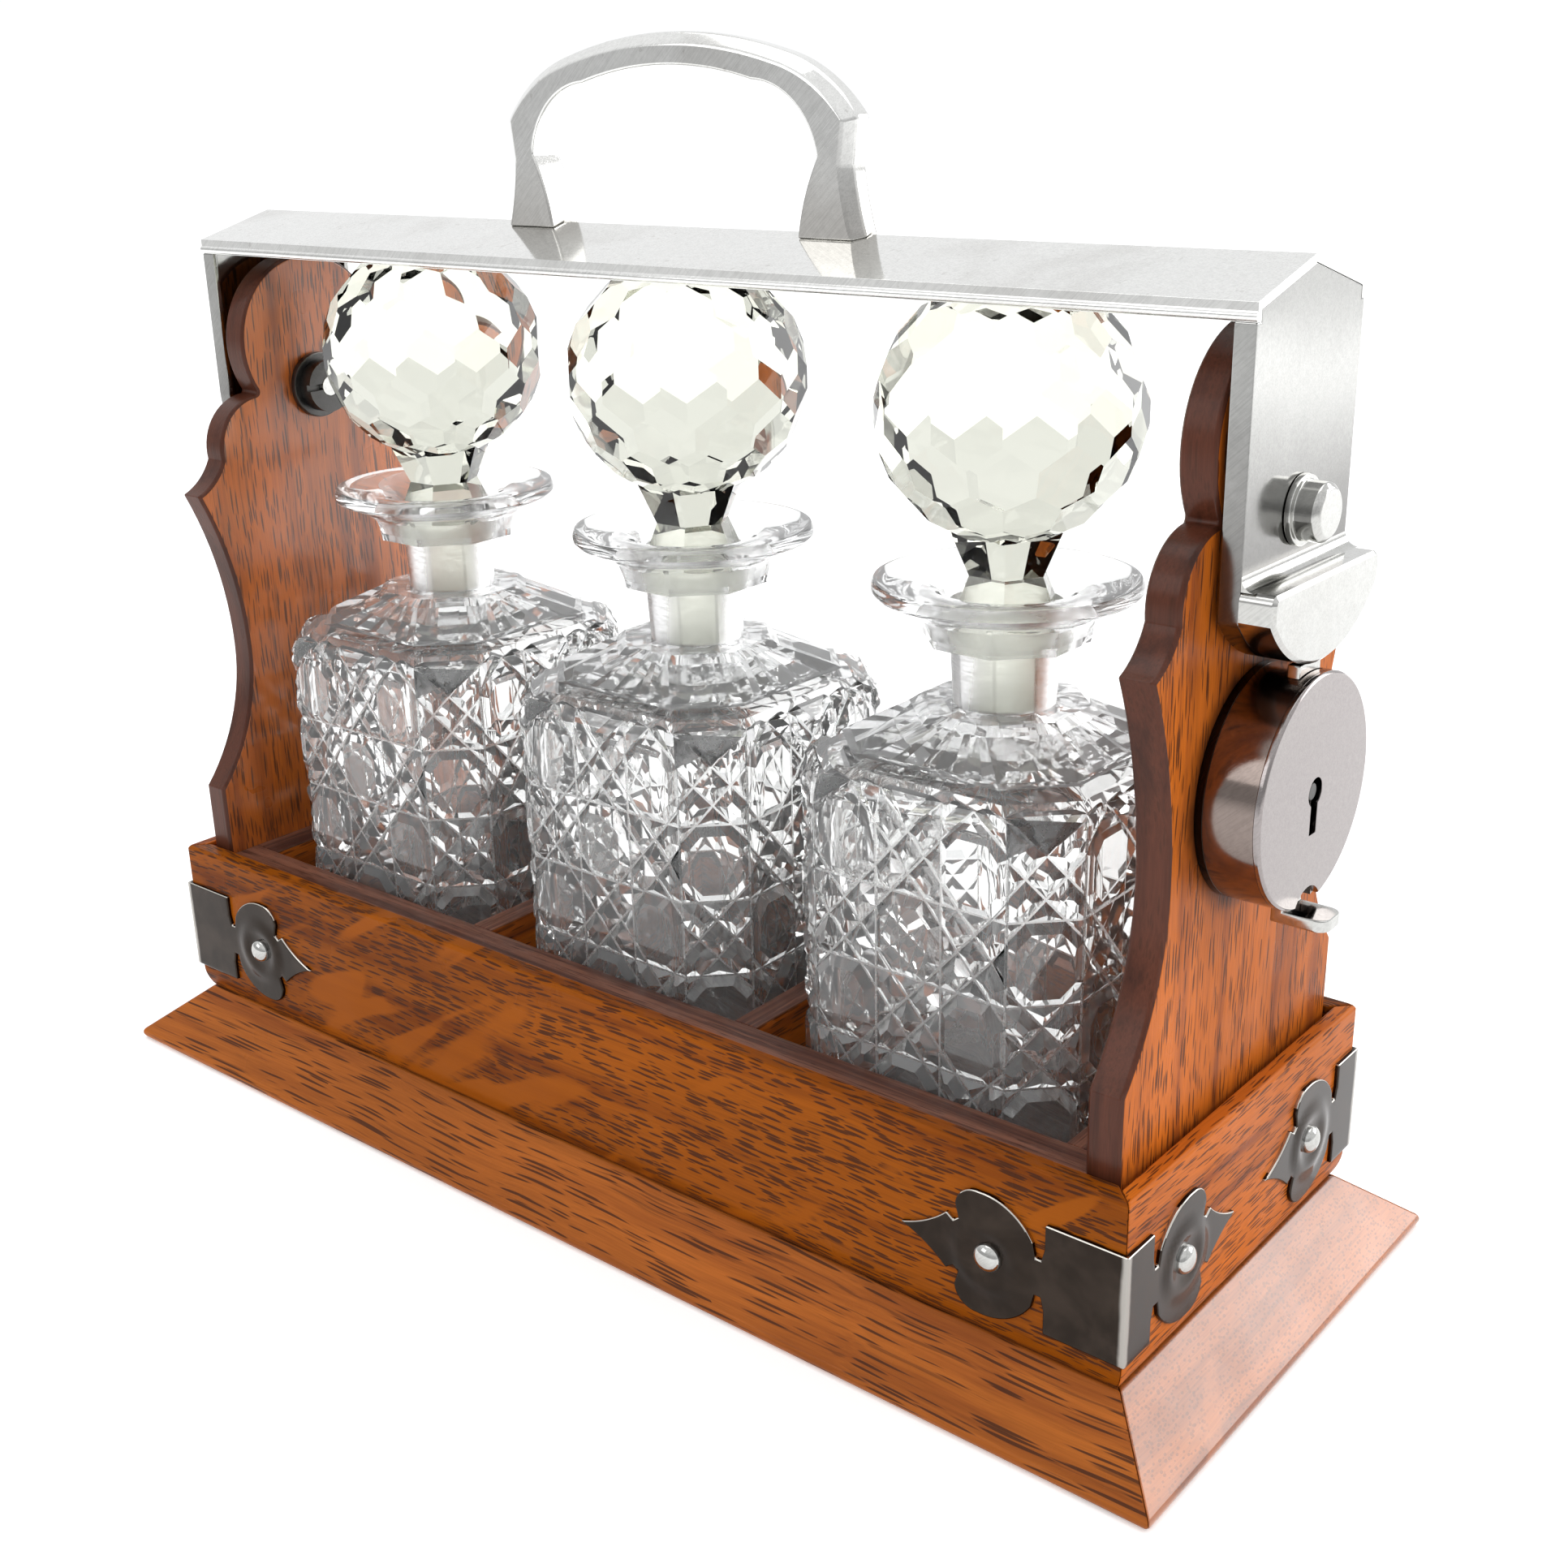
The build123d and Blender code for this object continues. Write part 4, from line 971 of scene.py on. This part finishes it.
# unwrapped height, height over the deck floor (mm), ring
STATIONS = (
    (-40.0, 1.6, 0.0),
    (-12.0, 1.6, square_ring(28.0, 9.0)),
    (-10.0, 0.0, square_ring(30.0, 9.8)),
    (0.0, 0.0, square_ring(38.5, 12.6)),
    (1.5, 1.5, square_ring(BODY_HALF, BODY_CORNER)),
    (112.5, 112.5, square_ring(BODY_HALF, BODY_CORNER)),
    (114.0, 114.0, square_ring(BODY_HALF - 0.6, BODY_CORNER)),
    (116.0, 115.0, square_ring(BODY_HALF - 2.4, BODY_CORNER)),
    (122.0, 118.45, square_ring(31.3375, 12.7518)),
    (132.0, 124.2, octagon(21.0)),
    (135.0, 126.0, octagon(18.6)),
    (137.0, 128.0, octagon(18.0)),
    (150.0, 141.0, octagon(18.0)),
    (152.0, 143.0, octagon(18.3)),
    (155.0, 146.6, 20.4),
    (158.0, 149.0, 23.6),
    (161.0, 150.8, 27.4),
    (164.0, 152.0, 30.4),
    (165.5, 152.8, 31.0),
    (167.0, 154.4, 31.0),
    (168.0, 155.3, 30.4),
    (169.0, 155.5, 29.4),
    (172.0, 155.0, 24.0),
    (175.0, 153.8, 18.6),
    (177.0, 152.2, 15.0),
    (179.0, 149.5, 13.2),
    (190.0, 125.4, 12.0),
    (193.0, 122.0, octagon(13.4)),
    (197.0, 113.5, rounded_ring(29.0, 9.0, 31.0, 0.30)),
    (200.0, 109.0, rounded_ring(34.6, 10.4, 37.0, 0.25)),
    (203.0, 100.0, rounded_ring(35.0, 10.0, 37.0, 0.25)),
    (240.0, 12.0, rounded_ring(35.0, 10.0, 37.0, 0.25)),
    (243.0, 8.0, rounded_ring(33.0, 10.0, 35.0, 0.30)),
    (246.0, 7.0, rounded_ring(28.0, 9.0, 30.0, 0.30)),
    (270.0, 7.0, 0.0),
)
MOUTH = (179.0, 190.0)
NECK_FOOT = 137.0
ROUND_FROM = 150.0


def near_faces(bm, point, across, reach, low, high):
    """Faces that a band along a line touches, between two heights of the sheet."""
    found = []
    for face in bm.faces:
        middle = face.calc_center_bounds().y
        if not low < middle < high:
            continue
        gaps = [(v.co - point).dot(across) for v in face.verts]
        if min(gaps) < reach and max(gaps) > -reach:
            found.append(face)
    return found


def split_faces(bm, faces, point, normal):
    """Cuts some faces of a mesh by a plane."""
    edges = {e for f in faces for e in f.edges}
    verts = {v for f in faces for v in f.verts}
    geom = [*verts, *edges, *faces]
    bmesh.ops.bisect_plane(bm, geom=geom, dist=1e-5, plane_co=point, plane_no=normal)


def carve_groove(bm, point, direction, half_width, depth, low, high):
    """One straight V cut across the unwrapped sheet, between two heights."""
    across = Vector((-direction.y, direction.x, 0.0)).normalized()
    fall = depth / half_width
    split_faces(bm, near_faces(bm, point, across, half_width, low, high), point, across)
    for side in (-1.0, 1.0):
        wall = Vector((0, 0, 1)) - across * side * fall
        bottom = point - Vector((0, 0, depth))
        faces = near_faces(bm, point, across, half_width, low, high)
        faces = [f for f in faces if (f.calc_center_median() - point).dot(across) * side > 0]
        split_faces(bm, faces, bottom, wall)
    faces = near_faces(bm, point, across, half_width, low, high)
    for vert in {v for f in faces for v in f.verts}:
        gap = abs((vert.co - point).dot(across))
        if gap < half_width:
            vert.co.z = min(vert.co.z, -depth + fall * gap)


def carve_slants(bm, half_width, depth, low, high):
    """The slanting cuts that cross over the body, two beside each other every other row."""
    reach = COLUMNS * ROW
    for sign, first in ((1, FIRST_LEVEL + ROW), (-1, FIRST_LEVEL + 2 * ROW)):
        direction = Vector((COLUMN, sign * ROW, 0)).normalized()
        offset = first - 2 * ROW * math.ceil((first + reach) / (2 * ROW))
        while offset < high + reach + 2 * ROW:
            for start in (offset - SLANT_GAP, offset + SLANT_GAP):
                end = start + sign * reach
                top, foot = max(start, end), min(start, end)
                if top > low - SLANT_MARGIN and foot < high + SLANT_MARGIN:
                    carve_groove(bm, UPRIGHT * start, direction, half_width, depth, low, high)
            offset += 2 * ROW


def wrap_sheet(bm):
    """Wraps the cut sheet round the bottle's stations; its depth goes into the glass."""
    for vert in bm.verts:
        x, height, depth = vert.co
        side, share = side_of(x)
        index = max(k for k in range(len(STATIONS) - 1) if STATIONS[k][0] <= height + 1e-4)
        low, high = STATIONS[index], STATIONS[index + 1]
        part = (height - low[0]) / (high[0] - low[0])
        flat = ring_point(low[2], side, share).lerp(ring_point(high[2], side, share), part)
        z = low[1] + (high[1] - low[1]) * part
        if depth < -1e-5:
            corner = -1 if share < 1e-4 else 1 if share > 1 - 1e-4 else 0
            turn = side * math.pi / 4 - math.pi / 2 + corner * math.pi / 8
            out = Vector((math.cos(turn), math.sin(turn)))
            if 0 < height < BODY_TOP:
                flat += out * depth * (1 / math.cos(math.pi / 8) if corner else 1.0)
            elif height > 0:
                fade = 1.0 - SHOULDER_LOSS * (height - SHOULDER_FOOT) / SHOULDER_RUN
                flat += out * depth * SHOULDER_IN * fade
                z += depth * SHOULDER_DOWN * fade
            else:
                (rim, rim_run), (hub, hub_run) = STAR_FADE
                z -= depth * min(1.0, (rim - height) / rim_run, (height - hub) / hub_run)
        vert.co = Vector((flat.x, flat.y, z)) * MM


def cut_sheet(glass):
    """The unwrapped sheet with every cut in it, and the rounded bottoms of the cuts marked."""
    bm = bmesh.new()
    start, end = STATIONS[0][0], STATIONS[-1][0]
    length = COLUMN * COLUMNS
    bmesh.ops.create_grid(bm, x_segments=1, y_segments=1, size=0.5)
    bmesh.ops.scale(bm, vec=(length, end - start, 1.0), verts=bm.verts)
    bmesh.ops.translate(bm, vec=(length / 2, (start + end) / 2, 0.0), verts=bm.verts)
    for station in STATIONS[1:-1]:
        split_faces(bm, bm.faces[:], UPRIGHT * station[0], UPRIGHT)
    for column in (3, 4, 7, 8, 11, 12, 15):
        split_faces(bm, bm.faces[:], ACROSS * column * COLUMN, ACROSS)
    wide, deep = glass.groove_half_width / MM, glass.groove_depth / MM
    body = (PATTERN_FOOT, PATTERN_TOP)
    for column in range(COLUMNS + 1):
        carve_groove(bm, ACROSS * column * COLUMN, UPRIGHT, wide, deep, *body)
    level_cuts = [(FIRST_LEVEL + row * ROW, wide, deep, *body) for row in range(ROWS)]
    level_cuts.append((*TOP_LINE, *body))
    level_cuts += [(line, *SHOULDER_CUT, PATTERN_TOP, FLUTE[0]) for line in SHOULDER_LINES]
    for height, *cut in level_cuts:
        carve_groove(bm, UPRIGHT * height, ACROSS, *cut)
    carve_slants(bm, glass.cross_half_width / MM, glass.cross_depth / MM, *body)
    flute = (FLUTE_STEP / 2 - 0.01, glass.flute_depth / MM, *FLUTE)
    for step in range(int(length / FLUTE_STEP) + 1):
        carve_groove(bm, ACROSS * step * FLUTE_STEP, UPRIGHT, *flute)
    for column in range(COLUMNS + 1):
        carve_groove(bm, ACROSS * column * COLUMN, UPRIGHT, *STAR)
    floor = glass.groove_floor / MM
    faces = [f for f in bm.faces if 0 < f.calc_center_bounds().y < PATTERN_TOP]
    split_faces(bm, faces, Vector((0, 0, -floor)), Vector((0, 0, 1)))
    for vert in bm.verts:
        if 0 < vert.co.y < PATTERN_TOP:
            vert.co.z = max(vert.co.z, -floor)
    for face in bm.faces:
        bottom = max(v.co.z for v in face.verts) < 0.001 - floor
        if bottom and 0 < face.calc_center_bounds().y < PATTERN_TOP:
            face.material_index = GROOVE
    return bm


def decanter_mesh(glass):
    """The whole bottle at the origin: cut outside, plain inside, closed."""
    bm = cut_sheet(glass)
    limit = math.radians(SAME_PLANE)
    bmesh.ops.dissolve_limit(
        bm, angle_limit=limit, verts=bm.verts, edges=bm.edges, delimit={"MATERIAL"}
    )
    for station in STATIONS:
        if station[0] > SHOULDER_FOOT:
            split_faces(bm, bm.faces[:], UPRIGHT * station[0], UPRIGHT)
    for turn in range(4):
        cuts = [4 * turn + 3 * k / GRIP_COLUMNS for k in range(1, GRIP_COLUMNS)]
        cuts += [4 * turn + 3, 4 * turn]
        cuts += [4 * turn + 3 + k / GRIP_COLUMNS for k in range(1, GRIP_COLUMNS)]
        for cut in cuts:
            faces = [f for f in bm.faces if f.calc_center_bounds().y > ROUND_FROM - 1]
            split_faces(bm, faces, ACROSS * (cut * COLUMN), ACROSS)
    for face in bm.faces:
        height = face.calc_center_median().y
        face.smooth = height > ROUND_FROM + 1
        if MOUTH[0] < height < MOUTH[1]:
            face.material_index = GROUND
        elif height < 0.0 or PATTERN_TOP < height < NECK_FOOT:
            face.material_index = WORN
    wrap_sheet(bm)
    bmesh.ops.remove_doubles(bm, verts=bm.verts, dist=0.01 * MM)
    bmesh.ops.dissolve_degenerate(bm, dist=0.01 * MM, edges=bm.edges)
    stray = [e for e in bm.edges if not e.link_faces]
    bmesh.ops.delete(bm, geom=stray, context="EDGES")
    bmesh.ops.recalc_face_normals(bm, faces=bm.faces)
    return bm


class TANTALUS_OT_decanters(bpy.types.Operator):
    """Cuts the three decanters and sets them in their compartments"""

    bl_idname = "tantalus.decanters"
    bl_label = "Decanters"

    def execute(self, context):
        glass = context.scene.tantalus_glass
        looks = [
            clear_glass("decanter_glass", glass.body, glass.haze),
            gritty_glass("decanter_seat", glass.body, *GROUND_GRIT),
            gritty_glass("decanter_groove", glass.body, *GROOVE_GRIT),
            clear_glass("decanter_worn", glass.body, glass.worn_haze),
        ]
        pattern = decanter_mesh(glass)
        for place in BOTTLES:
            node = "decanter_" + place
            low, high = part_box(node)
            bm = pattern.copy()
            middle = ((low.x + high.x) / 2, (low.y + high.y) / 2, low.z)
            bmesh.ops.translate(bm, vec=middle, verts=bm.verts)
            crease_edges(bm)
            finished(bm, node, "glass", looks, None, False)
        pattern.free()
        return {"FINISHED"}


class TANTALUS_OT_stoppers(bpy.types.Operator):
    """Facets the three ball stoppers and greys their ground plugs"""

    bl_idname = "tantalus.stoppers"
    bl_label = "Stoppers"

    def execute(self, context):
        glass = context.scene.tantalus_glass
        plug = gritty_glass("stopper_plug", glass.ball, *GROUND_GRIT)
        looks = [clear_glass("stopper_glass", glass.ball), plug]
        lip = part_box("decanter_centre")[1].z
        for place in BOTTLES:
            node = "stopper_" + place
            bm = merged_copy(node, 0.6)
            for face in bm.faces:
                ground = face.calc_center_median().z < lip - PLUG_TOP * MM
                face.material_index = 1 if ground else 0
                face.smooth = ground
            crease_edges(bm)
            finished(bm, node, "glass", looks, None, False)
        return {"FINISHED"}


# ---- stage ----

CAMERA_RIGHT = (0.77446, 0.63226, -0.02163)
CAMERA_UP = (-0.20537, 0.28360, 0.93669)
CAMERA_AHEAD = (-0.59837, 0.72099, -0.34948)
CAMERA_PLACE = (0.32537, -0.35786, 0.28366)
LIGHT_AIM = (0.0, 0.0, 0.12)
# name, place, width, height, share of the key light's power
LIGHTS = (
    ("overhead_light", (-0.2, 0.3, 2.2), 2.2, 1.6, 1.0),
    ("end_light", (1.12, 1.43, 0.82), 1.2, 1.0, 0.9),
    ("front_light", (-0.9, -1.6, 1.1), 1.1, 0.9, 0.3),
)
FLOOR_RADIUS = 6.0
FLOOR_SIDES = 64
ROOM_LIGHT = 1.05
ROOM_SHADE = 0.42


def area_light(name, place, width, height, power):
    """A soft rectangular light that looks at the object."""
    lamp = bpy.data.lights.new(name, "AREA")
    lamp.shape = "RECTANGLE"
    lamp.size = width
    lamp.size_y = height
    lamp.energy = power
    made = bpy.data.objects.new(name, lamp)
    bpy.context.scene.collection.objects.link(made)
    made.location = place
    way = Vector(LIGHT_AIM) - Vector(place)
    made.rotation_euler = way.to_track_quat("-Z", "Y").to_euler()


def paper_look(stage):
    """Pale paper with a little light of its own, less of it on the viewer's side, where painted
    shade also darkens its colour.
    """
    material, tree, place = blank_material("studio_paper")
    fibre = ramp(tree, noise(tree, place, 500.0), 0.3, 0.7)
    tone = mixed(tree, fibre, rgba(stage.floor, 0.985), rgba(stage.floor))
    depth = parts(tree, place)[1]
    near = ramp(tree, depth, -0.5, -1.2, stage.floor_glow, 0.12)
    glow = maths(tree, "ADD", near, ramp(tree, depth, 0.5, 2.5, 0.0, 0.3))
    # painted shade: the paper's colour darkens towards the viewer
    surface(tree, {
        "Base Color": shaded(tree, tone, ramp(tree, depth, -0.5, -1.5, 1.0, 0.75)),
        "Roughness": 0.9,
        "Emission Color": (1.0, 1.0, 1.0, 1.0),
        "Emission Strength": glow,
    })
    return material


def studio_floor(stage):
    """A pale round floor."""
    bm = bmesh.new()
    spun(bm, [(0.0, 0.0, 0.0), (FLOOR_RADIUS, 0.0, 0.0)], (0, 0, 0), (0, 0, 1), FLOOR_SIDES)
    bmesh.ops.remove_doubles(bm, verts=bm.verts, dist=1e-5)
    bmesh.ops.recalc_face_normals(bm, faces=bm.faces)
    if sum(f.normal.z for f in bm.faces) < 0:
        bmesh.ops.reverse_faces(bm, faces=bm.faces)
    mesh = bpy.data.meshes.new("studio_floor")
    bm.to_mesh(mesh)
    bm.free()
    mesh.shade_smooth()
    floor = bpy.data.objects.new("studio_floor", mesh)
    bpy.context.scene.collection.objects.link(floor)
    mesh.materials.append(paper_look(stage))


def studio_air():
    """A white room that is darker low down, on the side that the camera looks from."""
    world = bpy.data.worlds.new("studio_air")
    world.use_nodes = True
    tree = world.node_tree
    tree.nodes.clear()
    _, ahead, up = parts(tree, add(tree, "ShaderNodeTexCoord").outputs["Generated"])
    viewer = ramp(tree, ahead, 0.15, -0.45)
    dark = maths(tree, "MULTIPLY", viewer, ramp(tree, up, 0.62, 0.18))
    strength = maths(tree, "SUBTRACT", ROOM_LIGHT, maths(tree, "MULTIPLY", dark, ROOM_SHADE))
    inputs = {"Color": (0.985, 0.99, 1.0, 1.0), "Strength": strength}
    sky = add(tree, "ShaderNodeBackground", inputs)
    add(tree, "ShaderNodeOutputWorld", {0: sky.outputs[0]})
    return world


class TANTALUS_OT_stage(bpy.types.Operator):
    """Sets the camera, the pale floor and the soft lights"""

    bl_idname = "tantalus.stage"
    bl_label = "Stage"

    def execute(self, context):
        stage = context.scene.tantalus_stage
        studio_floor(stage)
        for name, place, width, height, power in LIGHTS:
            area_light(name, place, width, height, stage.key_power * power)
        context.scene.world = studio_air()
        camera = bpy.data.cameras.new("photo_camera")
        camera.sensor_width = 36.0
        camera.lens = stage.lens
        camera.clip_start = 0.01
        viewer = bpy.data.objects.new("photo_camera", camera)
        context.scene.collection.objects.link(viewer)
        turn = Matrix((CAMERA_RIGHT, CAMERA_UP, tuple(-c for c in CAMERA_AHEAD))).transposed()
        viewer.matrix_world = Matrix.Translation(CAMERA_PLACE) @ turn.to_4x4()
        context.scene.camera = viewer
        context.scene.view_settings.view_transform = "Standard"
        context.scene.cycles.max_bounces = 32
        context.scene.cycles.transmission_bounces = 32
        return {"FINISHED"}


# ---- panel and registration ----

OPERATORS = (
    TANTALUS_OT_stage,
    TANTALUS_OT_stand,
    TANTALUS_OT_uprights,
    TANTALUS_OT_lining,
    TANTALUS_OT_metalwork,
    TANTALUS_OT_brackets,
    TANTALUS_OT_decanters,
    TANTALUS_OT_stoppers,
)


class TANTALUS_PT_panel(bpy.types.Panel):
    """Lists the steps and the sizes and colours they use"""

    bl_idname = "TANTALUS_PT_panel"
    bl_label = "Antique tantalus"
    bl_space_type = "VIEW_3D"
    bl_region_type = "UI"
    bl_category = "Tantalus"

    def draw(self, context):
        for operator in OPERATORS:
            self.layout.operator(operator.bl_idname)
        for key, group in SETTINGS.items():
            box = self.layout.box()
            for prop in group.__annotations__:
                box.prop(getattr(context.scene, key), prop)


def register():
    for group in SETTINGS.values():
        bpy.utils.register_class(group)
    for key, group in SETTINGS.items():
        setattr(bpy.types.Scene, key, PointerProperty(type=group))
    for made in (*OPERATORS, TANTALUS_PT_panel):
        bpy.utils.register_class(made)


def unregister():
    for made in (TANTALUS_PT_panel, *reversed(OPERATORS)):
        bpy.utils.unregister_class(made)
    for key, group in reversed(SETTINGS.items()):
        delattr(bpy.types.Scene, key)
        bpy.utils.unregister_class(group)


def main():
    """Builds every piece in order."""
    register()
    for operator in OPERATORS:
        group, step = operator.bl_idname.split(".")
        getattr(getattr(bpy.ops, group), step)()


if __name__ == "__main__":
    main()
